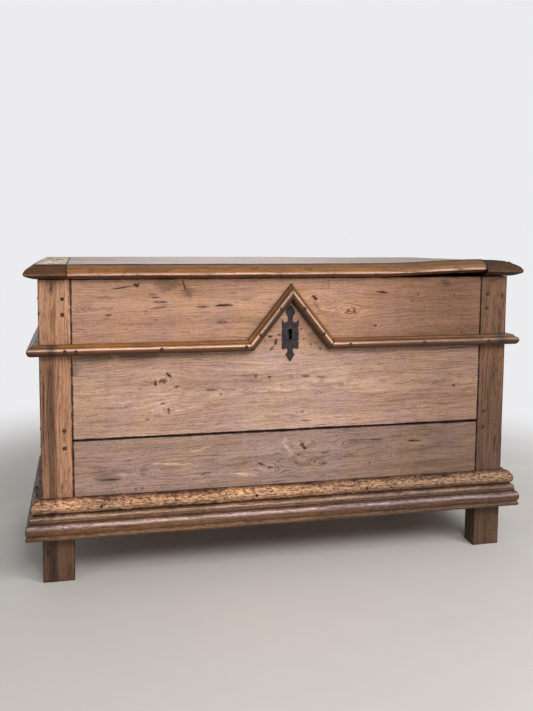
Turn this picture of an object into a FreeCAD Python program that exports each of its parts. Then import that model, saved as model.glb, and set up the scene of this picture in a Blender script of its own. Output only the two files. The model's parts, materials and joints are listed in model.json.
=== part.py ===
"""Joined oak storage chest with a chevron moulding over the lock.

The model is in millimetres. X runs along the front, Y runs from the front to the back and
Z points up from the floor. While it is built, X = 0 is midway between the corner posts and
Y = 0 is the front face of the posts. Every piece is then moved so that the origin lies
under the middle of the whole chest.
"""
import FreeCAD, Part
import math
import os

Vector = FreeCAD.Vector
RIGHT = Vector(1, 0, 0)
BACKWARD = Vector(0, 1, 0)
FORWARD = Vector(0, -1, 0)
UP = Vector(0, 0, 1)
DOWN = Vector(0, 0, -1)

# Overall
stile_spread = 1300.0            # between the outer faces of the corner posts
body_depth = 625.0               # front face to back face of the posts
lid_height = 793.0               # underside of the lid above the floor
lid_seat_gap = 0.4               # between the carcass and the closed lid
cut_overrun = 4.0                # how far every cutting shape passes the face it cuts

# Corner posts
stile_width = 80.0
stile_depth = 56.0
arris_chamfer = 1.5              # worn edges of the posts
foot_chamfer = 2.2

# Wall boards
board_thickness = 24.0
boards_bottom = 130.0            # lower edge of the walls above the floor
board_joint_height = 375.0       # open joint between lower and upper boards
board_joint_gap = 3.5
board_shoulder_gap = 1.2
board_edge_chamfer = 1.0
tongue_thickness = 10.0
tongue_length = 26.0
tongue_haunch = 10.0             # shoulder above and below each tongue
tongue_side_clearance = 0.2
tongue_end_clearance = 1.0

# Pegs
peg_radius = 5.0
peg_length = 45.0
peg_proud = 3.0
peg_inset = 20.0                 # from the shoulder of the joint
peg_dome_share = 0.55            # width of the domed end over the width of the peg
peg_top_drops = (50.0, 90.0)     # below the top of the walls
peg_joint_rise = 27.0            # above the open joint
peg_joint_drop = 19.0            # below the open joint
peg_sides = 6

# Middle rail moulding and chevron
rail_drop = 196.0                # underside of the rail below the lid
rail_height = 30.0
rail_projection = 29.0
mitre_gap = 0.5
chevron_centre = 7.5             # right of the middle of the front
chevron_rise = 131.5             # underside of the rail to the inner point of the chevron
chevron_half_span = 104.6        # middle of the chevron to its inner foot
# Outline steps as shares of the projection and the height, from the lower back corner.
# A pair is the end of a straight; four values are a point on an arc and its end.
rail_outline_shares = (
    (0.0, 0.0),
    (0.60, 0.09),
    (0.84, 0.13, 0.95, 0.28),
    (1.00, 0.42, 0.97, 0.56),
    (0.93, 0.66, 0.85, 0.70),
    (0.80, 0.70),
    (0.67, 0.80, 0.55, 0.96),
    (0.50, 1.0),
    (0.0, 1.0),
)

# Plinth moulding
plinth_bottom = 126.0
plinth_height = 100.0
plinth_projection = 40.0
plinth_outline_shares = (
    (0.0, 0.0),
    (0.90, 0.0),
    (0.97, 0.02, 0.97, 0.09),
    (0.96, 0.12),
    (0.90, 0.135),
    (0.90, 0.16),
    (0.93, 0.17),
    (1.00, 0.29, 0.88, 0.41),
    (0.72, 0.48, 0.62, 0.56),
    (0.60, 0.60),
    (0.53, 0.61),
    (0.53, 0.645),
    (0.60, 0.66),
    (0.665, 0.76, 0.58, 0.89),
    (0.44, 0.945),
    (0.40, 0.96),
    (0.0, 1.0),
)

# Lid
lid_thickness = 38.0
lid_overhang = 33.0              # past the posts at the front and at both ends
lid_back_overhang = 26.0
cleat_width = 105.0
lid_board_split_share = 0.51     # front board of the lid over the depth of the lid
lid_joint_gap = 0.6
lid_tongue_thickness = 10.0
lid_tongue_length = 9.0
cleat_tongue_thickness = 12.0
cleat_tongue_length = 34.0
cleat_tongue_stop = 24.0         # tongue kept back from the front and back edges
cleat_joint_gap = 0.8
lid_peg_radius = 4.0
lid_peg_inset = 18.0
lid_peg_shares = (0.14, 0.40, 0.62, 0.88)
lid_outline_shares = (
    (0.06, 0.0),
    (0.52, 0.15, 0.88, 0.33),
    (1.00, 0.49, 0.88, 0.64),
    (0.74, 0.73, 0.60, 0.77),
    (0.56, 0.82),
    (0.32, 0.885, 0.12, 1.0),
)

# Floor
ledger_height = 24.0
ledger_width = 28.0
ledger_bottom = 131.0
floor_thickness = 18.0
floor_board_count = 5
floor_board_gap = 1.5
floor_edge_gap = 0.5

# Forged nails
nail_shank = 3.2
nail_point_share = 0.4
nail_head_radius = 4.2           # out to the corners of the head
nail_head_rise = 2.0
nail_head_flat_share = 0.35
nail_sides = 4                   # flats of the shank and of the hammered head
moulding_nail_length = 44.0
moulding_nail_sink = 1.2
plinth_nail_length = 42.0
floor_nail_length = 38.0
ledger_nail_length = 42.0
strap_nail_length = 28.0
leaf_nail_length = 21.0
small_nail_length = 16.0
small_nail_scale_share = 0.75
# Nail places along the pieces they hold, as shares of half the front.
rail_nail_shares = (-0.90, -0.858, -0.526, -0.184, 0.263, 0.596, 0.897)
rail_nail_level_share = 0.45
side_rail_nail_shares = (0.10, 0.47, 0.88)
chevron_nail_shares = (0.28, 0.80)
plinth_upper_nail_shares = (-0.769, -0.136, 0.349)
plinth_lower_nail_shares = (-0.965, -0.834, -0.418, 0.349, 0.850, 0.962)
plinth_upper_nail_level_share = 0.78
plinth_upper_nail_reach_share = 0.655
plinth_lower_nail_level_share = 0.585
plinth_lower_nail_reach_share = 0.61
side_plinth_nail_shares = (0.12, 0.50, 0.86)
floor_nail_shares = (0.30, 0.70)
ledger_nail_shares = (-0.84, -0.28, 0.28, 0.84)

# Hinges
hinge_spread = 840.0             # between the middles of the two hinges
hinge_width = 36.0
hinge_thickness = 3.0
hinge_recess_gap = 0.2
hinge_pin_radius = 2.4
hinge_pin_clearance = 0.05
hinge_pin_head_radius = 4.2
hinge_pin_head_length = 2.5
hinge_pin_head_sides = 8
hinge_knuckle_radius = 4.7
hinge_knuckle_gap = 0.4
hinge_knuckle_width = 14.0       # middle knuckle, which belongs to the lid strap
hinge_axis_drop = 2.2            # below the underside of the lid
hinge_axis_reach = 6.0           # behind the back of the carcass
hinge_neck_gap = 7.0             # wide part of the strap kept clear of the knuckles
strap_length = 420.0
strap_end_width = 22.0
strap_finial_radius = 17.0
finial_sides = 12                # flats around the disc at the end of a strap or leaf
strap_nail_shares = (0.12, 0.34, 0.58, 0.80, 0.96)
leaf_length = 120.0
leaf_end_width = 24.0
leaf_finial_radius = 17.0
leaf_nail_shares = (0.30, 0.62, 0.98)

# Keyhole plate
keyhole_drop = 154.0             # middle of the keyhole plate's ring below the lid
escutcheon_half_width = 23.5
escutcheon_drop = 75.0           # ring to the lower point
escutcheon_height = 156.0
escutcheon_thickness = 2.0
ring_outer_radius = 18.0
ring_inner_radius = 14.5
ring_rise = 1.0
ring_sides = 20                  # flats left by the file
keyhole_radius = 5.5
keyhole_sides = 12
keyhole_top_rise = 9.5
keyhole_slot_width = 7.0
keyhole_slot_drop = 14.0
keyhole_board_margin = 1.5       # how much wider the hole in the board is
escutcheon_nail_shares = (0.10, 0.292, 0.72, 0.90)
escutcheon_nail_scale_share = 0.6
escutcheon_outline_shares = (
    (0.0, 0.0),
    (0.26, 0.058, 0.47, 0.115),
    (0.60, 0.122),
    (0.38, 0.160),
    (0.30, 0.212),
    (0.47, 0.240, 0.68, 0.224),
    (0.89, 0.224),
    (1.0, 0.244),
    (1.0, 0.340),
    (0.87, 0.359),
    (1.0, 0.378),
    (1.0, 0.462),
    (1.09, 0.481),
    (1.0, 0.500),
    (1.0, 0.571),
    (0.87, 0.590),
    (1.0, 0.609),
    (1.0, 0.724),
    (0.89, 0.744),
    (0.51, 0.692, 0.30, 0.756),
    (0.34, 0.808),
    (0.55, 0.865, 0.38, 0.929),
    (0.17, 0.974, 0.0, 1.0),
)

# Lock
lock_plate_thickness = 2.0
lock_plate_half_width = 70.0
lock_plate_bottom_drop = 52.0    # below the keyhole
lock_top_drop = 6.0              # below the top of the walls
lock_cover_half_width = 57.0
lock_cover_margin = 10.0         # plate showing above and below the cover
lock_cover_depth = 22.0
lock_cover_wall = 1.5
lock_slot_gap = 1.2              # around the eye of the hasp in the cover
bolt_thickness = 6.0
bolt_stand_off = 8.0             # plate to bolt
bolt_bar_height = 11.0
bolt_top_drop = 42.0             # top of the upper bar below the top of the walls
bolt_web_width = 16.0
bolt_web_reach = 52.0            # left edge of the web from the middle of the lock
bolt_foot_drop = 16.0            # top of the lower bar below the middle of the keyhole
bolt_foot_height = 12.0
bolt_foot_reach = 32.0           # right end of the lower bar from the middle of the lock
bolt_tip_gap = 3.0               # retracted bolt to the eye of the hasp
bolt_travel = 14.0
talon_width = 14.0
talon_depth = 7.0
guide_width = 9.0
guide_wall = 3.0
guide_clearance = 0.3
spring_thickness = 1.2
spring_height = 8.0              # rise of the bowed strip over its ends
spring_bends = 6
spring_foot_width = 6.0
spring_reach = 34.0              # left end of the strip from the middle of the lock
lock_nail_inset = 6.0
lock_nail_shares = (0.08, 0.50, 0.92)

# Hasp
hasp_plate_half_width = 42.0
hasp_plate_depth = 34.0
hasp_eye_thickness = 6.0
hasp_eye_wall = 3.0
hasp_eye_clearance = 1.0         # around the bolt in the eye
hasp_eye_end = 6.0               # iron below the eye's window
hasp_nail_inset = 8.0
hasp_nail_shares = (0.30, 0.75)

# Values worked out from the ones above
half_spread = stile_spread / 2
stile_inner = half_spread - stile_width
carcass_top = lid_height - lid_seat_gap
lid_top = lid_height + lid_thickness
board_back_face = board_thickness
back_board_front = body_depth - board_thickness
rail_bottom = lid_height - rail_drop
rail_top = rail_bottom + rail_height
floor_bottom = ledger_bottom + ledger_height
floor_top = floor_bottom + floor_thickness
lid_front = -lid_overhang
lid_back = body_depth + lid_back_overhang
cleat_inner = half_spread + lid_overhang - cleat_width
lid_split = lid_front + (lid_back - lid_front) * lid_board_split_share
hinge_axis_y = body_depth + hinge_axis_reach
hinge_axis_z = lid_height - hinge_axis_drop
front_reach = max(plinth_projection, lid_overhang, rail_projection)
back_reach = max(lid_back_overhang, hinge_axis_reach + hinge_knuckle_radius)
centre_y = (body_depth + back_reach - front_reach) / 2
bolt_front = board_back_face + lock_plate_thickness + bolt_stand_off
bolt_back = bolt_front + bolt_thickness
bolt_top = carcass_top - bolt_top_drop
lock_top = carcass_top - lock_top_drop
keyhole_height = lid_height - keyhole_drop
lock_bottom = keyhole_height - lock_plate_bottom_drop


def block(x_limits, y_limits, z_limits):
    """A block between three pairs of limits."""
    corner = Vector(x_limits[0], y_limits[0], z_limits[0])
    size = [limits[1] - limits[0] for limits in (x_limits, y_limits, z_limits)]
    return Part.makeBox(size[0], size[1], size[2], corner)


def prism(points, run):
    """A flat polygon drawn out along a vector."""
    return Part.Face(Part.makePolygon(list(points) + [points[0]])).extrude(run)


def mirrored(shape, centre=0.0):
    """The same shape on the other side of an upright plane across the front."""
    return shape.mirror(Vector(centre, 0, 0), RIGHT)


def outline_edges(steps, place):
    """Edges of an outline whose steps are straights or arcs; place turns shares into points."""
    edges = []
    last = place(*steps[0])
    for step in steps[1:]:
        end = place(*step[-2:])
        if len(step) == 2:
            edges.append(Part.LineSegment(last, end).toShape())
        else:
            edges.append(Part.Arc(last, place(*step[:2]), end).toShape())
        last = end
    return edges, last


def moulding_run(steps, projection, height, origin, outward, upward, run):
    """A straight run of moulding whose back lower corner starts at the origin."""
    def place(reach, rise):
        return origin + outward * (projection * reach) + upward * (height * rise)
    edges, last = outline_edges(steps, place)
    edges.append(Part.LineSegment(last, place(*steps[0])).toShape())
    return Part.Face(Part.Wire(edges)).extrude(run)


def ring_points(radius, centre, axis, sides):
    """Corners of a flat-sided ring around a centre, across an axis."""
    turn = FreeCAD.Rotation(UP, axis)
    points = []
    for index in range(sides):
        angle = 2 * math.pi * (index + 0.5) / sides
        spoke = Vector(radius * math.cos(angle), radius * math.sin(angle), 0)
        points.append(centre + turn.multVec(spoke))
    return points


def flat_sided(rings):
    """A closed solid with flat facets through rings of corners."""
    corner_sets = [rings[0], rings[-1]]
    count = len(rings[0])
    for lower, upper in zip(rings, rings[1:]):
        for index in range(count):
            after = (index + 1) % count
            corner_sets.append([lower[index], lower[after], upper[after], upper[index]])
    faces = [Part.Face(Part.makePolygon(corners + [corners[0]])) for corners in corner_sets]
    solid = Part.Solid(Part.Shell(faces))
    return solid if solid.Volume > 0 else solid.reversed()


def flat_bar(radius, start, run, sides):
    """A straight bar or disc with flat sides."""
    return flat_sided([ring_points(radius, start + run, run, sides),
                       ring_points(radius, start, run, sides)])


def riven_peg(radius, face_point, inward, length, proud):
    """A split peg with flat sides and a domed end standing proud of the face."""
    crown = face_point - inward * proud
    collar = face_point - inward * (proud * peg_dome_share)
    return flat_sided([ring_points(radius, face_point + inward * length, inward, peg_sides),
                       ring_points(radius, collar, inward, peg_sides),
                       ring_points(radius * peg_dome_share, crown, inward, peg_sides)])


def forged_nail(seat, inward, length, scale=1.0):
    """A square tapered shank under a hammered head with four facets."""
    half_diagonal = nail_shank * scale / math.sqrt(2)
    rings = ((half_diagonal * nail_point_share, length), (half_diagonal, 0),
             (nail_head_radius * scale, 0),
             (nail_head_radius * nail_head_flat_share * scale, -nail_head_rise * scale))
    return flat_sided([ring_points(radius, seat + inward * depth, inward, nail_sides)
                       for radius, depth in rings])


def group(shapes):
    """Separate solids kept together as one piece of hardware."""
    return Part.makeCompound([solid for shape in shapes for solid in shape.Solids])


def both_sides(shapes):
    """Pieces of hardware together with their copies on the other side."""
    return group(shapes + [mirrored(shape) for shape in shapes])


def cut_all(shape, cutters):
    """Take away every cutter whose box meets the shape."""
    near = [item for item in cutters if shape.BoundBox.intersect(item.BoundBox)]
    return shape.cut(near) if near else shape


def board_levels():
    """Lower and upper limits of the lower and the upper wall boards."""
    half_gap = board_joint_gap / 2
    return {"lower": (boards_bottom, board_joint_height - half_gap),
            "upper": (board_joint_height + half_gap, carcass_top)}


def long_board(level, front_face):
    """A front or back board with a tongue on each end."""
    shoulder = stile_inner - board_shoulder_gap
    middle = front_face + board_thickness / 2
    tongue_y = (middle - tongue_thickness / 2, middle + tongue_thickness / 2)
    tongue_x = stile_inner + tongue_length
    body = block((-shoulder, shoulder), (front_face, front_face + board_thickness), level)
    edges = [edge for edge in body.Edges if abs(edge.tangentAt(0).x) > 0.5]
    body = body.makeChamfer(board_edge_chamfer, edges)
    tongue = block((-tongue_x, tongue_x), tongue_y,
                   (level[0] + tongue_haunch, level[1] - tongue_haunch))
    return body.fuse(tongue).removeSplitter()


def end_board(level):
    """A board of the right-hand end with a tongue on each end."""
    outer = half_spread
    middle = outer - board_thickness / 2
    tongue_x = (middle - tongue_thickness / 2, middle + tongue_thickness / 2)
    shoulder = stile_depth + board_shoulder_gap
    body = block((outer - board_thickness, outer), (shoulder, body_depth - shoulder), level)
    edges = [edge for edge in body.Edges if abs(edge.tangentAt(0).y) > 0.5]
    body = body.makeChamfer(board_edge_chamfer, edges)
    tongue_y = stile_depth - tongue_length
    tongue = block(tongue_x, (tongue_y, body_depth - tongue_y),
                   (level[0] + tongue_haunch, level[1] - tongue_haunch))
    return body.fuse(tongue).removeSplitter()


def mortises():
    """Slots for the tongues in the right-hand front post."""
    half = tongue_thickness / 2 + tongue_side_clearance
    middle = board_thickness / 2
    depth = tongue_length + tongue_end_clearance
    slots = []
    for low, high in board_levels().values():
        level = (low + tongue_haunch - tongue_side_clearance,
                 high - tongue_haunch + tongue_side_clearance)
        slots.append(block((stile_inner - cut_overrun, stile_inner + depth),
                           (middle - half, middle + half), level))
        slots.append(block((half_spread - middle - half, half_spread - middle + half),
                           (stile_depth - depth, stile_depth + cut_overrun), level))
    return slots


def corner_post():
    """The right-hand front post, with worn edges, a chamfered foot and its mortises."""
    post = block((stile_inner, half_spread), (0, stile_depth), (0, carcass_top))
    upright = [edge for edge in post.Edges if abs(edge.tangentAt(0).z) > 0.5]
    post = post.makeChamfer(arris_chamfer, upright)
    soles = [edge for edge in post.Edges if edge.BoundBox.ZMax < arris_chamfer]
    post = post.makeChamfer(foot_chamfer, soles)
    return post.cut(mortises())


def peg_heights():
    """Heights of the four pegs in each row."""
    tops = [carcass_top - drop for drop in peg_top_drops]
    return tops + [board_joint_height + peg_joint_rise, board_joint_height - peg_joint_drop]


def corner_pegs():
    """Pegs of the right-hand front post, through its front face and its outer side."""
    pegs = []
    for height in peg_heights():
        front = Vector(stile_inner + peg_inset, 0, height)
        side = Vector(half_spread, stile_depth - peg_inset, height)
        pegs.append(riven_peg(peg_radius, front, BACKWARD, peg_length, peg_proud))
        pegs.append(riven_peg(peg_radius, side, RIGHT * -1, peg_length, peg_proud))
    return pegs


def to_back(shape):
    """The same shape on the back half of the carcass."""
    return shape.mirror(Vector(0, body_depth / 2, 0), BACKWARD)


def wrapped_moulding(steps, projection, height, bottom):
    """A front run and a right-hand return of one moulding, mitred at the corner."""
    reach = half_spread + projection
    start = Vector(-reach, 0, bottom)
    front = moulding_run(steps, projection, height, start, FORWARD, UP, RIGHT * (2 * reach))
    inner = half_spread - mitre_gap
    plan = [Vector(-inner, 0, bottom), Vector(inner, 0, bottom),
            Vector(inner + projection, -projection, bottom),
            Vector(-inner - projection, -projection, bottom)]
    front = front.common(prism(plan, UP * height))
    start = Vector(half_spread, -projection, bottom)
    side = moulding_run(steps, projection, height, start, RIGHT, UP,
                        BACKWARD * (projection + body_depth))
    plan = [Vector(half_spread, 0, bottom),
            Vector(half_spread + projection, -projection, bottom),
            Vector(half_spread + projection, body_depth, bottom),
            Vector(half_spread, body_depth, bottom)]
    side = side.common(prism(plan, UP * height))
    return front, side


def chevron_corners():
    """Inner and outer feet and points of the left arm, on the face of the front."""
    slope = math.atan2(chevron_rise, chevron_half_span)
    inner_foot = Vector(chevron_centre - chevron_half_span, 0, rail_bottom)
    inner_point = Vector(chevron_centre, 0, rail_bottom + chevron_rise)
    outer_point = inner_point + UP * (rail_height / math.cos(slope))
    outer_x = chevron_centre - (outer_point.z - rail_top) / math.tan(slope)
    outer_foot = Vector(outer_x, 0, rail_top)
    return slope, inner_foot, outer_foot, outer_point, inner_point


def chevron_arm():
    """The left arm of the chevron, mitred at its foot and at the point."""
    slope, inner_foot, outer_foot, outer_point, inner_point = chevron_corners()
    along = Vector(math.cos(slope), 0, math.sin(slope))
    across = Vector(-math.sin(slope), 0, math.cos(slope))
    length = (inner_point - inner_foot).Length
    spare = rail_height
    run = moulding_run(rail_outline_shares, rail_projection, rail_height,
                       inner_foot - along * spare, FORWARD, across, along * (length + 2 * spare))
    half_gap = RIGHT * (mitre_gap / 2)
    corners = [inner_foot + half_gap, outer_foot + half_gap,
               outer_point - half_gap, inner_point - half_gap]
    return run.common(prism(corners, FORWARD * rail_projection))


def front_rail_half(front, side):
    """The part of the front rail left (-1) or right (1) of the chevron."""
    inner_foot, outer_foot = chevron_corners()[1:3]

    def joint(foot):
        return chevron_centre + side * (chevron_centre - foot.x + mitre_gap / 2)
    far = side * (half_spread + rail_projection)
    corners = [Vector(far, 0, rail_bottom), Vector(joint(inner_foot), 0, rail_bottom),
               Vector(joint(outer_foot), 0, rail_top), Vector(far, 0, rail_top)]
    return front.common(prism(corners, FORWARD * rail_projection))


def rail_nails():
    """Nails through the crest of the rail, its returns and the chevron arms."""
    crest = rail_projection - moulding_nail_sink
    level = rail_bottom + rail_height * rail_nail_level_share
    nails = [forged_nail(Vector(half_spread * share, -crest, level), BACKWARD,
                         moulding_nail_length) for share in rail_nail_shares]
    for share in side_rail_nail_shares:
        nail = forged_nail(Vector(half_spread + crest, body_depth * share, level), RIGHT * -1,
                           moulding_nail_length)
        nails += [nail, mirrored(nail)]
    slope, inner_foot, _, _, inner_point = chevron_corners()
    across = Vector(-math.sin(slope), 0, math.cos(slope)) * (rail_height * rail_nail_level_share)
    for share in chevron_nail_shares:
        seat = inner_foot + (inner_point - inner_foot) * share + across + FORWARD * crest
        nail = forged_nail(seat, BACKWARD, moulding_nail_length)
        nails += [nail, mirrored(nail, chevron_centre)]
    return nails


def plinth_nails():
    """Nails in the upper bead and in the hollow of the plinth."""
    rows = ((plinth_upper_nail_shares, plinth_upper_nail_level_share,
             plinth_upper_nail_reach_share),
            (plinth_lower_nail_shares, plinth_lower_nail_level_share,
             plinth_lower_nail_reach_share))
    nails = []
    for places, level_share, reach_share in rows:
        level = plinth_bottom + plinth_height * level_share
        reach = plinth_projection * reach_share - moulding_nail_sink
        for share in places:
            nails.append(forged_nail(Vector(half_spread * share, -reach, level), BACKWARD,
                                     plinth_nail_length))
    for share in side_plinth_nail_shares:
        nail = forged_nail(Vector(half_spread + reach, body_depth * share, level), RIGHT * -1,
                           plinth_nail_length)
        nails += [nail, mirrored(nail)]
    return nails


def floor_ledger():
    """The batten inside the front wall that carries the floor."""
    return block((-stile_inner, stile_inner),
                 (board_back_face, board_back_face + ledger_width),
                 (ledger_bottom, floor_bottom))


def floor_boards():
    """Boards laid from front to back, the end ones notched around the posts."""
    inner = half_spread - board_thickness - floor_edge_gap
    pitch = 2 * inner / floor_board_count
    limits_y = (board_back_face + floor_edge_gap, back_board_front - floor_edge_gap)
    notch = block((stile_inner - floor_edge_gap, half_spread),
                  (-cut_overrun, stile_depth + floor_edge_gap), (0, carcass_top))
    notches = [notch, mirrored(notch), to_back(notch), mirrored(to_back(notch))]
    boards = []
    for index in range(floor_board_count):
        left = -inner + pitch * index
        board = block((left + floor_board_gap / 2, left + pitch - floor_board_gap / 2),
                      limits_y, (floor_bottom, floor_top))
        boards.append(cut_all(board, notches))
    return boards


def floor_nails():
    """Nails through the floor into the ledgers and through the ledgers into the walls."""
    inner = half_spread - board_thickness - floor_edge_gap
    pitch = 2 * inner / floor_board_count
    line = board_back_face + ledger_width / 2
    nails = []
    for index in range(floor_board_count):
        for share in floor_nail_shares:
            seat = Vector(-inner + pitch * (index + share), line, floor_top)
            nail = forged_nail(seat, DOWN, floor_nail_length)
            nails += [nail, to_back(nail)]
    level = ledger_bottom + ledger_height / 2
    for share in ledger_nail_shares:
        seat = Vector(stile_inner * share, board_back_face + ledger_width, level)
        nail = forged_nail(seat, FORWARD, ledger_nail_length)
        nails += [nail, to_back(nail)]
    return nails


def lid_blank():
    """The whole lid across the chest with its moulded front edge, longer than the lid."""
    reach = half_spread + lid_overhang
    origin = Vector(-reach, 0, lid_height)

    def place(out, rise):
        return origin + FORWARD * (lid_overhang * out) + UP * (lid_thickness * rise)
    edges, last = outline_edges(lid_outline_shares, place)
    back_top = Vector(-reach, lid_back, lid_top)
    back_bottom = Vector(-reach, lid_back, lid_height)
    edges += [Part.LineSegment(last, back_top).toShape(),
              Part.LineSegment(back_top, back_bottom).toShape(),
              Part.LineSegment(back_bottom, place(*lid_outline_shares[0])).toShape()]
    return Part.Face(Part.Wire(edges)).extrude(RIGHT * (2 * reach))


def lid_end_blank():
    """The right-hand end of the lid with its moulded outer edge, front to back."""
    origin = Vector(half_spread, lid_front, lid_height)

    def place(out, rise):
        return origin + RIGHT * (lid_overhang * out) + UP * (lid_thickness * rise)
    edges, last = outline_edges(lid_outline_shares, place)
    inner_top = Vector(cleat_inner, lid_front, lid_top)
    inner_bottom = Vector(cleat_inner, lid_front, lid_height)
    edges += [Part.LineSegment(last, inner_top).toShape(),
              Part.LineSegment(inner_top, inner_bottom).toShape(),
              Part.LineSegment(inner_bottom, place(*lid_outline_shares[0])).toShape()]
    return Part.Face(Part.Wire(edges)).extrude(BACKWARD * (lid_back - lid_front))


def cleat_tongue(clearance=0.0):
    """The tongue that both lid boards push into the right-hand cleat."""
    middle = lid_height + lid_thickness / 2
    half = cleat_tongue_thickness / 2 + clearance
    end = tongue_end_clearance if clearance else 0.0
    return block((cleat_inner - cleat_tongue_length, cleat_inner + cleat_tongue_length + end),
                 (lid_front + cleat_tongue_stop - end, lid_back - cleat_tongue_stop + end),
                 (middle - half, middle + half))


def lid_cleat(blank):
    """The right-hand cleat, moulded on its front and outer edges and grooved inside."""
    return blank.common(lid_end_blank()).cut(cleat_tongue(tongue_side_clearance))


def lid_boards(blank):
    """Front and back board of the lid, tongued together and into the cleats."""
    shoulder = cleat_inner - cleat_joint_gap
    tall = (lid_height, lid_top)
    middle = lid_height + lid_thickness / 2
    half = lid_tongue_thickness / 2
    half_gap = lid_joint_gap / 2
    tongues = [cleat_tongue(), mirrored(cleat_tongue())]
    front_room = block((-shoulder, shoulder), (lid_front, lid_split - half_gap), tall)
    back_room = block((-shoulder, shoulder), (lid_split + half_gap, lid_back), tall)
    front = blank.common(front_room)
    back = blank.common(back_room)
    for tongue in tongues:
        front = front.fuse(tongue.common(block(
            (-half_spread, half_spread), (lid_front, lid_split - half_gap), tall)))
        back = back.fuse(tongue.common(block(
            (-half_spread, half_spread), (lid_split + half_gap, lid_back), tall)))
    ridge = block((-shoulder, shoulder), (lid_split - half_gap, lid_split + lid_tongue_length),
                  (middle - half, middle + half))
    groove = block((-half_spread, half_spread),
                   (lid_split, lid_split + lid_tongue_length + tongue_end_clearance),
                   (middle - half - tongue_side_clearance, middle + half + tongue_side_clearance))
    return front.fuse(ridge).removeSplitter(), back.cut(groove).removeSplitter()


def lid_pegs():
    """Pegs down through each cleat and the tongues inside it."""
    pegs = []
    for share in lid_peg_shares:
        place = Vector(cleat_inner + lid_peg_inset, lid_front + (lid_back - lid_front) * share,
                       lid_top)
        peg = flat_bar(lid_peg_radius, place, DOWN * lid_thickness, peg_sides)
        pegs += [peg, mirrored(peg)]
    return pegs


def tapered_bar(root, tip, root_width, tip_width, finial_radius, flat, side, depth):
    """A bar that narrows from its root to a hammered disc, with the given thickness vector."""
    corners = [root + side * (root_width / 2), tip + side * (tip_width / 2),
               tip - side * (tip_width / 2), root - side * (root_width / 2)]
    bar = prism(corners, flat * depth)
    disc = flat_bar(finial_radius, tip, flat * depth, finial_sides)
    return bar.fuse(disc).removeSplitter()


def strap_parts(clearance=0.0):
    """The flat part of the right-hand lid strap, or the recess for it in the lid."""
    x = hinge_spread / 2
    root = Vector(x, hinge_axis_y - hinge_neck_gap + clearance, lid_height)
    tip = Vector(x, hinge_axis_y - strap_length, lid_height)
    return tapered_bar(root, tip, hinge_width + 2 * clearance, strap_end_width + 2 * clearance,
                       strap_finial_radius + clearance, UP, RIGHT, hinge_thickness + clearance)


def knuckle(x_limits, radius):
    """A cylinder along the hinge axis."""
    start = Vector(x_limits[0], hinge_axis_y, hinge_axis_z)
    return Part.makeCylinder(radius, x_limits[1] - x_limits[0], start, RIGHT)


def lid_strap():
    """The right-hand strap under the lid with its middle knuckle."""
    x = hinge_spread / 2
    half = hinge_knuckle_width / 2
    neck = block((x - half, x + half),
                 (hinge_axis_y - hinge_neck_gap - cut_overrun, hinge_axis_y),
                 (lid_height, lid_height + hinge_thickness))
    barrel = knuckle((x - half, x + half), hinge_knuckle_radius)
    bore = knuckle((x - half, x + half), hinge_pin_radius + hinge_pin_clearance)
    return strap_parts().fuse([neck, barrel]).cut(bore).removeSplitter()


def strap_recess():
    """What the lid gives up for the right-hand strap and its knuckles."""
    x = hinge_spread / 2
    half = hinge_width / 2 + hinge_pin_head_length + 2 * hinge_knuckle_gap
    tail = block((x - half, x + half), (hinge_axis_y - hinge_neck_gap, lid_back + cut_overrun),
                 (lid_height - cut_overrun, lid_height + hinge_thickness + hinge_recess_gap))
    return strap_parts(hinge_recess_gap).fuse(tail)


def back_leaf():
    """The right-hand leaf on the back of the chest with its two outer knuckles."""
    x = hinge_spread / 2
    half = hinge_width / 2
    inner = hinge_knuckle_width / 2 + hinge_knuckle_gap
    root = Vector(x, body_depth, hinge_axis_z)
    tip = root + DOWN * leaf_length
    plate = tapered_bar(root, tip, hinge_width, leaf_end_width, leaf_finial_radius,
                        BACKWARD, RIGHT, hinge_thickness)
    barrels = [knuckle((x - half, x - inner), hinge_knuckle_radius),
               knuckle((x + inner, x + half), hinge_knuckle_radius)]
    notch_drop = hinge_knuckle_radius + hinge_knuckle_gap
    notch = block((x - inner, x + inner), (body_depth - cut_overrun, hinge_axis_y),
                  (hinge_axis_z - notch_drop, hinge_axis_z + cut_overrun))
    bore = knuckle((x - half, x + half), hinge_pin_radius + hinge_pin_clearance)
    return plate.cut(notch).fuse(barrels).cut(bore)


def hinge_pin():
    """The right-hand hinge pin with a hammered head on its outer end."""
    x = hinge_spread / 2
    half = hinge_width / 2
    head_start = x + half + hinge_knuckle_gap
    pin = knuckle((x - half - hinge_pin_head_length, head_start), hinge_pin_radius)
    head = flat_bar(hinge_pin_head_radius, Vector(head_start, hinge_axis_y, hinge_axis_z),
                    RIGHT * hinge_pin_head_length, hinge_pin_head_sides)
    return pin.fuse(head).removeSplitter()


def strap_nails():
    """Nails up through the right-hand strap into the lid."""
    root = hinge_axis_y - hinge_neck_gap
    return [forged_nail(Vector(hinge_spread / 2, root - strap_length * share, lid_height), UP,
                        strap_nail_length) for share in strap_nail_shares]


def leaf_nails():
    """Nails through the right-hand back leaf into the back board."""
    face = body_depth + hinge_thickness
    return [forged_nail(Vector(hinge_spread / 2, face, hinge_axis_z - leaf_length * share),
                        FORWARD, leaf_nail_length) for share in leaf_nail_shares]


def keyhole(front, back, margin=0.0):
    """A round hole with a slot below it, cut from front to back."""
    depth = back - front
    centre = Vector(chevron_centre, front, keyhole_height + keyhole_top_rise)
    hole = flat_bar(keyhole_radius + margin, centre, BACKWARD * depth, keyhole_sides)
    half = keyhole_slot_width / 2 + margin
    slot = block((chevron_centre - half, chevron_centre + half), (front, back),
                 (keyhole_height - keyhole_slot_drop - margin, keyhole_height + keyhole_top_rise))
    return hole.fuse(slot)


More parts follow.
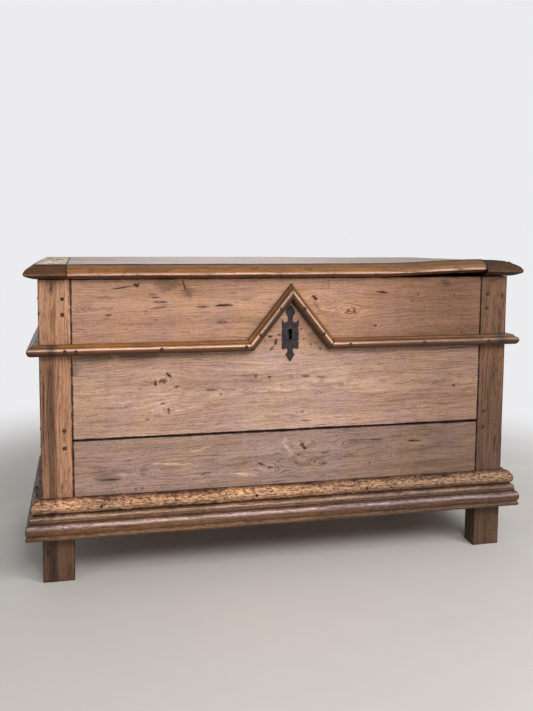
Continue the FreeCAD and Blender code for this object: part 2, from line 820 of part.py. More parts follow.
def escutcheon():
    """The keyhole plate: a leaf above, a spear below, notched edges and a raised ring."""
    bottom = keyhole_height - escutcheon_drop

    def place(across, rise):
        return Vector(chevron_centre + escutcheon_half_width * across, -escutcheon_thickness,
                      bottom + escutcheon_height * rise)
    edges, last = outline_edges(escutcheon_outline_shares, place)
    edges.append(Part.LineSegment(last, place(*escutcheon_outline_shares[0])).toShape())
    half = Part.Face(Part.Wire(edges)).extrude(BACKWARD * escutcheon_thickness)
    plate = half.fuse(mirrored(half, chevron_centre)).removeSplitter()
    front = -escutcheon_thickness - ring_rise
    centre = Vector(chevron_centre, front, keyhole_height)
    discs = [flat_bar(radius, centre, BACKWARD * ring_rise, ring_sides)
             for radius in (ring_outer_radius, ring_inner_radius)]
    return plate.fuse(discs[0].cut(discs[1])).cut(keyhole(front, 0))


def escutcheon_nails():
    """Small nails that hold the keyhole plate."""
    bottom = keyhole_height - escutcheon_drop
    return [forged_nail(Vector(chevron_centre, -escutcheon_thickness,
                               bottom + escutcheon_height * share), BACKWARD,
                        small_nail_length, escutcheon_nail_scale_share)
            for share in escutcheon_nail_shares]


def lock_plate():
    """The iron plate of the lock on the inside of the front, with its keyhole."""
    front = board_back_face
    plate = block((chevron_centre - lock_plate_half_width, chevron_centre + lock_plate_half_width),
                  (front, front + lock_plate_thickness), (lock_bottom, lock_top))
    return plate.cut(keyhole(front, front + lock_plate_thickness))


def lock_cover():
    """The folded box over the works, open to the plate and slotted for the hasp."""
    front = board_back_face + lock_plate_thickness
    outer = block((chevron_centre - lock_cover_half_width, chevron_centre + lock_cover_half_width),
                  (front, front + lock_cover_depth),
                  (lock_bottom + lock_cover_margin, lock_top))
    inner_half = lock_cover_half_width - lock_cover_wall
    inner = block((chevron_centre - inner_half, chevron_centre + inner_half),
                  (front - cut_overrun, front + lock_cover_depth - lock_cover_wall),
                  (lock_bottom + lock_cover_margin + lock_cover_wall, lock_top - lock_cover_wall))
    slot_half = hasp_eye_thickness / 2 + lock_slot_gap
    slot = block((chevron_centre - slot_half, chevron_centre + slot_half),
                 (front - cut_overrun, eye_limits()[1] + lock_slot_gap),
                 (lock_top - lock_cover_wall - cut_overrun, lock_top + cut_overrun))
    return outer.cut([inner, slot])


def eye_limits():
    """Front and back faces of the hasp's eye."""
    side = hasp_eye_clearance + hasp_eye_wall
    return bolt_front - side, bolt_back + side


def lock_bolt():
    """The sliding bolt: upper bar, web and lower bar with the talon for the key."""
    centre = chevron_centre
    tip = centre - hasp_eye_thickness / 2 - bolt_tip_gap
    web_left = centre - bolt_web_reach
    depth = (bolt_front, bolt_back)
    foot_top = keyhole_height - bolt_foot_drop
    upper = block((web_left, tip), depth, (bolt_top - bolt_bar_height, bolt_top))
    web = block((web_left, web_left + bolt_web_width), depth,
                (foot_top - bolt_foot_height, bolt_top))
    lower = block((web_left, centre + bolt_foot_reach), depth,
                  (foot_top - bolt_foot_height, foot_top))
    talon = block((centre - talon_width / 2, centre + talon_width / 2),
                  (bolt_front - cut_overrun, bolt_back + cut_overrun),
                  (foot_top - talon_depth, foot_top + cut_overrun))
    return upper.fuse([web, lower]).cut(talon).removeSplitter()


def bolt_guide(centre_x, low, high):
    """A staple on the lock plate that keeps a bar of the bolt in line."""
    front = board_back_face + lock_plate_thickness
    half = guide_width / 2
    gap = guide_clearance
    outer = block((centre_x - half, centre_x + half), (front, bolt_back + gap + guide_wall),
                  (low - gap - guide_wall, high + gap + guide_wall))
    window = block((centre_x - half, centre_x + half), (bolt_front - gap, bolt_back + gap),
                   (low - gap, high + gap))
    return outer.cut(window)


def bolt_guides():
    """One guide on the upper bar and one on the lower bar."""
    foot_top = keyhole_height - bolt_foot_drop
    upper_x = chevron_centre - hasp_eye_thickness / 2 - bolt_tip_gap - guide_width
    lower_x = chevron_centre + bolt_foot_reach - guide_width
    return [bolt_guide(upper_x, bolt_top - bolt_bar_height, bolt_top),
            bolt_guide(lower_x, foot_top - bolt_foot_height, foot_top)]


def lock_spring():
    """A bowed strip under the lower bar, riveted to the plate by its foot."""
    bar_bottom = keyhole_height - bolt_foot_drop - bolt_foot_height
    crest = bar_bottom - guide_clearance
    left = chevron_centre - spring_reach
    right = chevron_centre + talon_width / 2
    front = board_back_face + lock_plate_thickness
    upper = []
    for index in range(spring_bends + 1):
        share = index / spring_bends
        drop = spring_height * (2 * share - 1) ** 2
        upper.append(Vector(left + (right - left) * share, bolt_front, crest - drop))
    lower = [point + DOWN * spring_thickness for point in reversed(upper)]
    strip = prism(upper + lower, BACKWARD * bolt_thickness)
    foot = block((left - spring_foot_width, left), (front, bolt_back),
                 (crest - spring_height - 2 * spring_thickness, crest - spring_height))
    return strip.fuse(foot).removeSplitter()


def lock_nails():
    """Nails through the edges of the lock plate into the front board."""
    seat_y = board_back_face + lock_plate_thickness
    nails = []
    for side in (-1, 1):
        x = chevron_centre + side * (lock_plate_half_width - lock_nail_inset)
        for share in lock_nail_shares:
            height = lock_bottom + (lock_top - lock_bottom) * share
            nails.append(forged_nail(Vector(x, seat_y, height), FORWARD, small_nail_length,
                                     small_nail_scale_share))
    return nails


def lid_hasp():
    """The plate let into the lid with the eye that the bolt passes through."""
    centre = chevron_centre
    eye_front, eye_back = eye_limits()
    plate_front = board_back_face + lid_seat_gap
    plate = block((centre - hasp_plate_half_width, centre + hasp_plate_half_width),
                  (plate_front, plate_front + hasp_plate_depth),
                  (lid_height, lid_height + hinge_thickness))
    window_low = bolt_top - bolt_bar_height - hasp_eye_clearance
    window_high = bolt_top + hasp_eye_clearance
    half = hasp_eye_thickness / 2
    blade = block((centre - half, centre + half), (eye_front, eye_back),
                  (window_low - hasp_eye_end, lid_height))
    window = block((centre - half, centre + half),
                   (bolt_front - hasp_eye_clearance, bolt_back + hasp_eye_clearance),
                   (window_low, window_high))
    return plate.fuse(blade).cut(window).removeSplitter()


def hasp_recess():
    """What the lid gives up for the plate of the hasp."""
    half = hasp_plate_half_width + hinge_recess_gap
    plate_front = board_back_face + lid_seat_gap - hinge_recess_gap
    depth = hasp_plate_depth + 2 * hinge_recess_gap
    return block((chevron_centre - half, chevron_centre + half),
                 (plate_front, plate_front + depth),
                 (lid_height - cut_overrun, lid_height + hinge_thickness + hinge_recess_gap))


def hasp_nails():
    """Nails up through the plate of the hasp into the lid."""
    nails = []
    for side in (-1, 1):
        x = chevron_centre + side * (hasp_plate_half_width - hasp_nail_inset)
        for share in hasp_nail_shares:
            y = board_back_face + lid_seat_gap + hasp_plate_depth * share
            nails.append(forged_nail(Vector(x, y, lid_height), UP, strap_nail_length,
                                     small_nail_scale_share))
    return nails


def carcass_nodes(nodes):
    """Posts, walls, floor and the pegs and nails that hold them."""
    levels = board_levels()
    corner = corner_pegs()
    pegs = []
    for peg in corner:
        pegs += [peg, mirrored(peg), to_back(peg), mirrored(to_back(peg))]
    post = corner_post()
    posts = {"front_right_stile": post, "front_left_stile": mirrored(post),
             "back_right_stile": to_back(post), "back_left_stile": mirrored(to_back(post))}
    for name, shape in posts.items():
        nodes[name] = cut_all(shape, pegs)
    hole = keyhole(-cut_overrun, board_back_face + cut_overrun, keyhole_board_margin)
    for name, level in levels.items():
        front = long_board(level, 0.0)
        nodes["front_%s_board" % name] = cut_all(front, pegs + [hole])
        back = long_board(level, back_board_front)
        nodes["back_%s_board" % name] = cut_all(back, pegs)
        end = end_board(level)
        nodes["right_%s_board" % name] = cut_all(end, pegs)
        nodes["left_%s_board" % name] = cut_all(mirrored(end), pegs)
    ledger = floor_ledger()
    nodes["front_floor_ledger"] = ledger
    nodes["back_floor_ledger"] = to_back(ledger)
    for index, board in enumerate(floor_boards()):
        nodes["floor_board_%d" % (index + 1)] = board
    nodes["stile_pegs"] = group(pegs)
    nodes["floor_nails"] = group(floor_nails())


def moulding_nodes(nodes):
    """Rail, chevron and plinth with the nails driven through them."""
    front, side = wrapped_moulding(rail_outline_shares, rail_projection, rail_height, rail_bottom)
    nodes["rail_front_left"] = front_rail_half(front, -1)
    nodes["rail_front_right"] = front_rail_half(front, 1)
    nodes["rail_right_side"] = side
    nodes["rail_left_side"] = mirrored(side)
    nodes["chevron_left_arm"] = chevron_arm()
    nodes["chevron_right_arm"] = mirrored(chevron_arm(), chevron_centre)
    nodes["rail_nails"] = group(rail_nails())
    front, side = wrapped_moulding(plinth_outline_shares, plinth_projection, plinth_height,
                                   plinth_bottom)
    nodes["plinth_front"] = front
    nodes["plinth_right_side"] = side
    nodes["plinth_left_side"] = mirrored(side)
    nodes["plinth_nails"] = group(plinth_nails())


def lid_nodes(nodes):
    """Boards, cleats and pegs of the lid, let in for its ironwork."""
    recess = strap_recess()
    nails = both_sides(strap_nails())
    cutters = lid_pegs() + [recess, mirrored(recess), hasp_recess()]
    cutters += nails.Solids + hasp_nails()
    blank = lid_blank()
    front, back = lid_boards(blank)
    cleat = cut_all(lid_cleat(blank), cutters)
    nodes["lid_front_board"] = cut_all(front, cutters)
    nodes["lid_back_board"] = cut_all(back, cutters)
    nodes["lid_right_cleat"] = cleat
    nodes["lid_left_cleat"] = mirrored(cleat)
    nodes["lid_pegs"] = group(lid_pegs())
    strap = cut_all(lid_strap(), strap_nails())
    nodes["hinge_strap_right"] = strap
    nodes["hinge_strap_left"] = mirrored(strap)
    nodes["hinge_strap_nails"] = nails
    nodes["lid_hasp"] = cut_all(lid_hasp(), hasp_nails())
    nodes["hasp_nails"] = group(hasp_nails())


def ironwork_nodes(nodes):
    """Keyhole plate, lock and the hinge parts on the carcass."""
    nodes["escutcheon"] = cut_all(escutcheon(), escutcheon_nails())
    nodes["escutcheon_nails"] = group(escutcheon_nails())
    nodes["lock_plate"] = cut_all(lock_plate(), lock_nails())
    nodes["lock_cover"] = lock_cover()
    nodes["lock_bolt"] = lock_bolt()
    nodes["lock_bolt_guides"] = group(bolt_guides())
    nodes["lock_spring"] = lock_spring()
    nodes["lock_nails"] = group(lock_nails())
    leaf = cut_all(back_leaf(), leaf_nails())
    nodes["hinge_leaf_right"] = leaf
    nodes["hinge_leaf_left"] = mirrored(leaf)
    nodes["hinge_leaf_nails"] = both_sides(leaf_nails())
    nodes["hinge_pins"] = both_sides([hinge_pin()])


def main():
    nodes = {}
    carcass_nodes(nodes)
    moulding_nodes(nodes)
    lid_nodes(nodes)
    ironwork_nodes(nodes)
    os.makedirs("parts", exist_ok=True)
    for name, shape in nodes.items():
        shape.translated(FORWARD * centre_y).exportStep("parts/%s.step" % name)


main()
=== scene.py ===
"""Looks of a joined oak storage chest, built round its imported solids.

The file is laid out as an add-on and is run as a script. Everything is in metres, in the frame
of the solids: X runs along the front, Y from the front to the back and Z up from the floor.
"""
import json
import math

import bmesh
import bpy
import numpy as np
from mathutils import Matrix, Vector


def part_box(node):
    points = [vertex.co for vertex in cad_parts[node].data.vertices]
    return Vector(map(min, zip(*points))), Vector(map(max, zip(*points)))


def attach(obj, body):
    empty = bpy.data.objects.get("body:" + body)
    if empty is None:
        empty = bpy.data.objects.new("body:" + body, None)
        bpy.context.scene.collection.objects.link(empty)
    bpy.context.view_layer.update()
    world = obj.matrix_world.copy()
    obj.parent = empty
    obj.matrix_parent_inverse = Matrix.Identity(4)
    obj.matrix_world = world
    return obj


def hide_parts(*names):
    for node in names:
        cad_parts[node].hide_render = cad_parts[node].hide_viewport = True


bl_info = {
    "name": "Joined Oak Chest",
    "version": (1, 0, 0),
    "blender": (4, 5, 0),
    "location": "View3D > Sidebar > Chest",
    "description": "Builds the worn oak, the forged nails and the ironwork of a storage chest",
    "category": "Object",
}

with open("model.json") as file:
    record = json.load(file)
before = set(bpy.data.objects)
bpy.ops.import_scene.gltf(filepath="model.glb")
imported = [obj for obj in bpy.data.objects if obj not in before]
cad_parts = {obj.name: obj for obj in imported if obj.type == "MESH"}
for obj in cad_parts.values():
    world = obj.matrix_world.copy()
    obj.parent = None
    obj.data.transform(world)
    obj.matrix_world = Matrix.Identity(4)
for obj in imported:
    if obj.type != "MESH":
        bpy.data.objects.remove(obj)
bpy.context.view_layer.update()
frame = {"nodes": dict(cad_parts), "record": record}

MM = 0.001
X, Y, Z = 0, 1, 2
RIGHT, LEFT = Vector((1, 0, 0)), Vector((-1, 0, 0))
FORWARD, BACKWARD, UP = Vector((0, -1, 0)), Vector((0, 1, 0)), Vector((0, 0, 1))
POST_LOW, POST_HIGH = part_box("front_right_stile")
FACE = POST_LOW.y                       # front face of the posts
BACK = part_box("back_right_stile")[1].y  # back face of the posts
HALF = POST_HIGH.x                      # middle of the front to the outer face of a post
POST_INNER = POST_LOW.x                 # middle of the front to the inner face of a post
LID_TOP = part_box("lid_front_board")[1].z  # height of the flat top of the closed lid
LID_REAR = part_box("lid_back_board")[1].y  # back edge of the lid
LID_BOTTOM = 793 * MM                   # height of the underside of the closed lid
LID_THICKNESS = LID_TOP - LID_BOTTOM
LID_OVERHANG = 33 * MM                  # how far the lid stands out past the posts
LID_TONGUE = 9.3 * MM                   # reach of the front lid board's tongue
CLEAT_JOINT = 577.2 * MM                # middle of the lid to the joints of its cleats
CHEVRON_CENTRE = 7.5 * MM               # how far right of the middle the lock sits
RAIL_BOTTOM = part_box("rail_front_left")[0].z
RAIL_HEIGHT = 30 * MM
RAIL_PROJECTION = 29 * MM
PLINTH_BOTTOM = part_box("plinth_front")[0].z
PLINTH_HEIGHT = 100 * MM
PLINTH_PROJECTION = 40 * MM
MITRE_GAP = 0.5 * MM
CHEVRON_RISE = 131.5 * MM
CHEVRON_HALF_SPAN = 104.6 * MM
TONGUE_REACH = 27.2 * MM                # shoulder of a wall board to the end of its tongue
TONGUE_HALF = 5 * MM
TONGUE_HAUNCH = 10 * MM
MORTISE_SPARE = MM                      # room past the end of a tongue
KEYHOLE_LOW, KEYHOLE_HIGH = 624 * MM, 655 * MM
KEYHOLE_HALF = 6 * MM
FRONT_SEAM = 374.3 * MM                 # height of the joint between the front boards
STRAP_PLACE = 420 * MM                  # middle of the chest to the middle of a hinge strap
STRAP_ROOT = BACK - MM                  # where the recess of a strap widens for the knuckles
STRAP_TIP = BACK - 414 * MM             # middle of the disc at the end of a strap
STRAP_HALF_WIDTHS = (11.2 * MM, 18.2 * MM)  # at the tip and at the root
STRAP_DISC = 17.2 * MM                  # radius of the disc at the end of a strap
STRAP_DEPTH = 3.2 * MM
KNUCKLES_HALF = 21.3 * MM               # half the width of the recess for the knuckles
PLATE_MIDDLE = 639 * MM                 # height of the middle of the keyhole plate
IMAGE_HEIGHT = 711                      # longer side of the image, in pixels

# Outlines as shares of the projection and of the height. Two values end a straight, and four
# are a point on an arc and the arc's end.
RAIL_OUTLINE = (
    (0.0, 0.0), (0.60, 0.05), (0.82, 0.12, 0.94, 0.29), (1.00, 0.46, 0.97, 0.61),
    (0.92, 0.72, 0.85, 0.76), (0.78, 0.76), (0.65, 0.85, 0.55, 0.97), (0.50, 1.0), (0.0, 1.0))
PLINTH_OUTLINE = (
    (0.0, 0.0), (0.90, 0.0), (0.97, 0.02, 0.97, 0.08), (0.95, 0.11), (0.91, 0.12),
    (0.91, 0.14), (0.94, 0.15), (1.01, 0.28, 0.90, 0.405), (0.80, 0.42), (0.76, 0.425),
    (0.755, 0.45), (0.775, 0.46), (0.77, 0.485), (0.70, 0.49), (0.745, 0.54, 0.66, 0.60),
    (0.56, 0.62), (0.51, 0.63), (0.51, 0.655), (0.60, 0.67), (0.68, 0.775, 0.59, 0.90),
    (0.46, 0.955), (0.40, 0.97), (0.0, 1.0))
LID_OUTLINE = (
    (0.06, 0.0), (0.52, 0.09, 0.88, 0.22), (1.00, 0.36, 0.92, 0.51), (0.80, 0.66, 0.62, 0.73),
    (0.57, 0.79), (0.32, 0.87, 0.12, 1.0))

# Cracks, dents and dark specks on the front: ends (x, z, x, z) and width in mm, and depth
# of tone.
MARKS = {
    "front_upper_board": (
        (-466, 766, -408, 775, 1.2, 0.85), (-410, 778, -398, 774, 3, 0.95),
        (-402, 770, -396, 783, 2, 0.8), (-356, 778, -286, 775, 8, 0.59),
        (-345, 770, -310, 766, 5, 0.5), (-284, 788, -276, 762, 2.2, 0.9),
        (-281, 778, -264, 742, 7.5, 0.59), (-560, 588, -470, 590, 12, 0.59),
        (-562, 545, -560, 590, 8, 0.59), (-450, 591, -350, 592, 8, 0.57),
        (-373, 752, -350, 751, 3, 0.5), (-364, 743, -344, 742, 1.8, 0.6),
        (-360, 731, -323, 731, 1.8, 0.8), (-368, 714, -326, 719, 1.8, 0.6),
        (-485, 700, -467, 700, 1.6, 0.7), (-487, 748, -475, 748, 1.6, 0.5),
        (-495, 763, -481, 763, 1.6, 0.5), (-359, 685, -347, 684, 2.2, 0.5),
        (-199, 720, -151, 720, 2.4, 1), (-247, 717, -215, 718, 2, 0.6),
        (-194, 675, -166, 676, 3.4, 0.6), (-131, 736, -103, 736, 1.6, 0.4),
        (-159, 753, -140, 754, 1.6, 0.4), (-144, 634, -143, 634, 2.4, 0.9),
        (69, 743, 82, 733, 2.6, 0.9), (73, 727, 96, 695, 2.4, 0.5), (188, 708, 192, 692, 2.6, 0.7),
        (158, 691, 171, 703, 2, 0.5), (-31, 627, -34, 612, 2.8, 1), (-48, 597, -38, 608, 2, 0.8),
        (-52, 634, -44, 636, 2.4, 0.8), (-64, 623, -61, 623, 2.2, 0.7),
        (-26, 636, -22, 640, 2.4, 0.8), (37, 653, 40, 652, 2.6, 0.8), (45, 627, 47, 625, 2.6, 0.8),
        (64, 611, 67, 609, 3, 0.8), (80, 614, 83, 613, 2.4, 0.7), (91, 598, 95, 598, 3.4, 0.8),
        (60, 640, 100, 600, 9, 0.4), (114, 783, 115, 764, 2, 0.5), (252, 753, 287, 749, 1.9, 0.9),
        (354, 725, 365, 725, 2.6, 0.5), (483, 739, 488, 739, 2.8, 0.6),
        (446, 783, 471, 769, 6, 0.5), (511, 635, 514, 635, 1.8, 0.8),
        (511, 667, 513, 690, 1.4, 0.4), (-328, 545, -315, 531, 3, 0.85),
        (-357, 527, -356, 510, 3, 0.8), (-347, 517, -341, 527, 2.6, 0.7),
        (-306, 505, -297, 507, 2.4, 0.6), (-400, 505, -393, 502, 1.8, 0.5),
        (-344, 463, -332, 464, 1.8, 0.6), (-323, 452, -321, 433, 2, 0.6),
        (-383, 420, -373, 423, 2.2, 0.6), (-563, 576, -562, 549, 3.4, 0.5),
        (-550, 581, -544, 566, 4, 0.45), (-538, 582, -527, 575, 4, 0.4),
        (-127, 531, -79, 532, 3.4, 0.45), (-87, 533, -86, 522, 2.6, 0.8),
        (-54, 524, -44, 525, 2.4, 0.7), (7, 522, 17, 522, 1.8, 0.6), (40, 523, 66, 522, 2.2, 0.8),
        (82, 519, 112, 517, 1.6, 0.6), (-114, 513, -67, 515, 1.4, 0.5),
        (-226, 495, -189, 493, 1.8, 0.7), (-180, 494, -142, 493, 1.6, 0.5),
        (-186, 481, -180, 481, 2.4, 0.6), (-130, 483, -79, 482, 1.6, 0.5),
        (-18, 501, -14, 500, 2, 0.5), (37, 421, 47, 427, 1.6, 0.6), (-63, 414, -15, 413, 1.6, 0.5),
        (5, 409, 21, 409, 1.8, 0.5), (41, 399, 70, 397, 1.6, 0.6), (256, 550, 280, 551, 2, 0.3),
        (487, 481, 498, 480, 2.4, 0.6), (279, 448, 299, 449, 1.8, 0.4),
        (404, 421, 422, 421, 1.8, 0.5), (286, 415, 328, 414, 1.4, 0.4),
        (472, 514, 486, 513, 1.6, 0.4)),
    "front_lower_board": (
        (-80, 288, -62, 279, 2.2, 0.8), (48, 323, 57, 319, 3, 0.9), (-26, 289, -21, 288, 2.6, 0.6),
        (19, 305, 55, 304, 2.4, 0.5), (92, 275, 119, 274, 2.6, 0.5), (98, 307, 118, 305, 2.2, 0.5),
        (65, 276, 72, 274, 2.4, 0.4), (-239, 263, -208, 269, 2.4, 0.6), (92, 238, 119, 240, 2, 0.5),
        (168, 336, 242, 336, 2.2, 0.5), (243, 335, 281, 333, 1.8, 0.6),
        (302, 343, 340, 340, 2.4, 0.4), (403, 340, 424, 339, 2.2, 0.5),
        (356, 326, 393, 324, 1.9, 0.9), (240, 269, 245, 268, 2.2, 0.7),
        (-401, 276, -383, 275, 2.4, 0.5), (-431, 280, -419, 279, 1.8, 0.4),
        (-514, 270.5, -450, 268, 7.5, 0.59), (-505, 266, -455, 264.5, 1.7, 0.9),
        (-400, 285, -380, 287, 3, 0.59), (-473, 242, -471, 241, 2.2, 0.9),
        (-467, 231, -466, 231, 2, 0.8), (-459, 249, -458, 249, 2, 0.8),
        (-412, 235, -407, 235, 2.4, 0.9), (-395, 237, -391, 236, 2.6, 0.9),
        (-417, 258, -416, 256, 1.8, 0.5), (-432, 265, -431, 264, 1.8, 0.6)),
    "plinth_front": (
        (-275, 226.5, -256, 229, 2.6, 1), (-256, 229, -238, 232.5, 2.2, 1),
        (-240, 231.5, -213, 233.5, 2.4, 1), (-357, 227, -342, 225.5, 2.4, 0.9),
        (-634, 190, -618, 189, 5.5, 1), (-604, 188, -590, 188, 2, 0.8),
        (-575, 232, -566, 233, 2.6, 0.8), (50, 224, 85, 226.5, 2.2, 0.8),
        (300, 233, 336, 232, 2, 0.7), (-470, 150, -400, 152, 1.6, 0.5),
        (120, 160, 230, 163, 1.6, 0.5), (430, 196, 520, 199, 1.8, 0.5)),
    "front_left_stile": (
        (-615, 800, -617.5, 755, 7.5, 0.59), (-627, 797, -619, 775, 5, 0.59),
        (-602, 797, -614, 777, 5, 0.59), (-617, 790, -617.5, 757, 1.8, 0.8),
        (-637, 95, -637, 70, 2.4, 0.8), (-641, 545, -642, 380, 1.6, 0.6),
        (-594, 392, -592, 370, 2, 0.4)),
    "front_right_stile": (
        (617, 700, 618, 699, 2.4, 0.8), (604, 560, 606, 300, 2.6, 0.5),
        (616, 575, 617, 440, 1.8, 0.45), (583, 500, 583, 250, 1.4, 0.4),
        (589, 770, 587, 660, 1.2, 0.5), (610, 740, 612, 690, 2, 0.4),
        (635, 745, 636, 728, 1.8, 0.9), (628, 700, 630, 676, 3, 0.5),
        (600, 782, 622, 786, 3.5, 0.55), (617, 520, 618, 500, 2, 0.8), (600, 470, 601, 430, 2, 0.6),
        (628, 330, 629, 280, 2, 0.6)),
}
# Pale lines in the figure of the front boards, written like the marks.
PALE_LINES = (
    (-367, 302, -259, 294.5, 4, 1.8), (-264, 327.5, -201.6, 345, 3.6, 1.5),
    (2, 355.7, -9, 340, 3.8, 1.4), (-9, 340, 19, 304, 3.8, 1.4), (-143, 262, -79, 252, 3.4, 1.2),
    (-310, 440, -227.5, 454, 3.6, 1.2), (-363, 444, -360, 446, 6, 1.2))
# Worm tracks on top of the left cleat: ends (x, y, x, y) and width in mm, and depth of tone.
WORM_TRACKS = (
    (-629, 60, -626, 120, 4, 0.9), (-612.5, -30, -610, 30, 4, 0.9), (-608, 20, -603, 80, 3.5, 0.9),
    (-606, 120, -602, 160, 3.5, 0.9), (-596.5, -20, -594, 30, 3.5, 0.9),
    (-590, 60, -586, 110, 3, 0.8), (-652, 100, -640, 160, 4, 0.8), (-640, 20, -632, 60, 3, 0.8),
    (-584, -200, -582, -150, 3, 0.8), (-620, -150, -616, -100, 3, 0.8))
# Knots: place along and across the grain, and radius, in mm.
KNOTS = {
    "front_upper_board": (
        (-541, 715, 7), (-307, 675, 6), (79, 733, 10), (171, 703, 15), (252, 659, 9), (378, 742, 7),
        (-335, 523, 18), (-322, 446, 11), (37, 423, 6)),
    "front_lower_board": (
        (45, 330, 18), (-46, 273, 14), (79, 283, 12), (165, 330, 8)),
    "back_upper_board": (
        (310, 620, 16), (-220, 480, 12)),
    "lid_front_board": (
        (-220, -200, 12), (300, -100, 10)),
    "lid_back_board": (
        (120, 180, 14),),
}


def in_metres(rows, lengths):
    """Rows of a table whose first values are lengths in millimetres."""
    return [(*(value * MM for value in row[:lengths]), *row[lengths:]) for row in rows]


def length_property(name, description, millimetres):
    """A length property with a default."""
    return bpy.props.FloatProperty(name=name, description=description, min=0.0, unit="LENGTH",
                                   default=millimetres * MM)


def power_property(name, description, watts):
    """A lamp's power with a default."""
    return bpy.props.FloatProperty(name=name, description=description, min=0.0, unit="POWER",
                                   default=watts)


class ChestSizes(bpy.types.PropertyGroup):
    """Sizes of the wear and of the small hardware."""
    edge_wear: length_property("Edge wear", "Radius of the worn edges of boards and posts", 2.2)
    unevenness: length_property(
        "Unevenness", "Height of the slow waves of a hand-planed face", 0.45)
    mark_depth: length_property(
        "Depth of marks", "How deep cracks and dents go into the boards", 1.4)
    moulding_wear: length_property(
        "Moulding wear", "Height of the unevenness of the mouldings", 0.7)
    chip_depth: length_property(
        "Chip depth", "Depth of the chips in the edges of the mouldings", 4.5)
    lid_lift: length_property(
        "Lid lift", "How far the warped front corner of the lid stands up", 11.0)
    lid_sag: length_property(
        "Lid sag", "How much lower the worn top of the lid is at the back", 4.5)
    joint_skew: length_property(
        "Joint skew", "How far the right joint of the lid leans at the front", 9.0)
    nail_head_radius: length_property("Nail head", "Radius of a forged nail's head", 5.6)
    peg_head_radius: length_property("Peg end", "Radius of a peg's rounded end", 5.2)


def seen(red, green, blue):
    """A colour given as it is seen on a screen, in the shader's own scale."""
    return tuple(((value / 255 + 0.055) / 1.055) ** 2.4 for value in (red, green, blue))


def tone_property(name, description, colour):
    """A colour property with a default."""
    return bpy.props.FloatVectorProperty(name=name, description=description, subtype="COLOR",
                                         size=3, min=0.0, max=1.0, default=seen(*colour))


class ChestFinish(bpy.types.PropertyGroup):
    """Colours of the wood and of the iron."""
    board_tone: tone_property("Boards", "Dry, pinkish tan of the front boards", (194, 151, 127))
    board_shade: tone_property("Board grain", "Darker grain of the front boards", (134, 94, 72))
    post_tone: tone_property("Posts", "Warm brown of the posts", (206, 154, 122))
    post_shade: tone_property("Post grain", "Dark streaks of the posts", (112, 76, 54))
    lid_tone: tone_property("Lid top", "Bleached top of the lid", (160, 133, 118))
    wax_tone: tone_property("Waxed crest", "Golden brown of the mouldings", (168, 113, 62))
    wax_shade: tone_property("Waxed hollow", "Dark brown of the mouldings", (76, 45, 24))
    plinth_tone: tone_property("Plinth", "Worn brown of the plinth", (150, 113, 86))
    side_tone: tone_property("Ends", "Grey brown of the chest's ends", (126, 94, 74))
    raw_tone: tone_property("Inside", "Unfinished oak inside the chest", (150, 118, 90))
    iron_tone: tone_property("Iron", "Blackened wrought iron", (50, 45, 49))
    rust_tone: tone_property("Rust", "Rust in the hollows of the iron", (84, 54, 40))


class ChestStage(bpy.types.PropertyGroup):
    """Floor, lamps and the camera."""
    floor_tone: tone_property("Floor", "Pale floor", (214, 209, 203))
    focal_length: bpy.props.FloatProperty(
        name="Focal length", description="Focal length of the camera in mm",
        default=40.37, min=1.0, unit="CAMERA")
    key_power: power_property("Key lamp", "Power of the large lamp at the upper right", 70.0)
    window_power: power_property(
        "Window lamp", "Power of the lamp in front, seen in the waxed crests", 52.0)
    fill_power: power_property(
        "Fill lamp", "Power of the lamps at the left and at the back", 13.0)
    surround: bpy.props.FloatProperty(
        name="Surround", description="Strength of the even light from all round",
        default=0.30, min=0.0)


class Sketch:
    """A node tree being drawn up: nodes get values or links by the name of each input."""

    def __init__(self, tree):
        self.tree = tree

    def feed(self, socket, value):
        if isinstance(value, bpy.types.NodeSocket):
            self.tree.links.new(value, socket)
        else:
            socket.default_value = value

    def add(self, kind, inputs=None, output=0, **settings):
        node = self.tree.nodes.new(kind)
        for key, value in settings.items():
            setattr(node, key, value)
        for key, value in (inputs or {}).items():
            self.feed(node.inputs[key], value)
        return node.outputs[output] if node.outputs else node

    def math(self, operation, first, second=0.0, clamp=False):
        return self.add("ShaderNodeMath", {0: first, 1: second}, operation=operation,
                        use_clamp=clamp)

    def plus(self, first, second):
        return self.math("ADD", first, second)

    def minus(self, first, second):
        return self.math("SUBTRACT", first, second)

    def times(self, first, second):
        return self.math("MULTIPLY", first, second)

    def larger(self, first, second):
        return self.math("MAXIMUM", first, second)

    def vector(self, operation, first, second):
        return self.add("ShaderNodeVectorMath", {0: first, 1: second}, operation=operation)

    def product(self, vector, factors):
        return self.vector("MULTIPLY", vector, factors)

    def scaled(self, vector, factor):
        return self.add("ShaderNodeVectorMath", {0: vector, "Scale": factor},
                        operation="SCALE")

    def length(self, vector):
        return self.add("ShaderNodeVectorMath", {0: vector}, output=1, operation="LENGTH")

    def parts(self, vector):
        node = self.tree.nodes.new("ShaderNodeSeparateXYZ")
        self.feed(node.inputs[0], vector)
        return list(node.outputs)

    def joined(self, *parts):
        return self.add("ShaderNodeCombineXYZ", dict(enumerate(parts)))

    def noise(self, vector, detail=2.0, roughness=0.5, scale=1.0):
        return self.add("ShaderNodeTexNoise", {
            "Vector": vector, "Scale": scale, "Detail": detail, "Roughness": roughness})

    def step(self, value, low, high, result_low=0.0, result_high=1.0):
        return self.add("ShaderNodeMapRange", {
            "Value": value, "From Min": low, "From Max": high, "To Min": result_low,
            "To Max": result_high}, interpolation_type="SMOOTHSTEP")


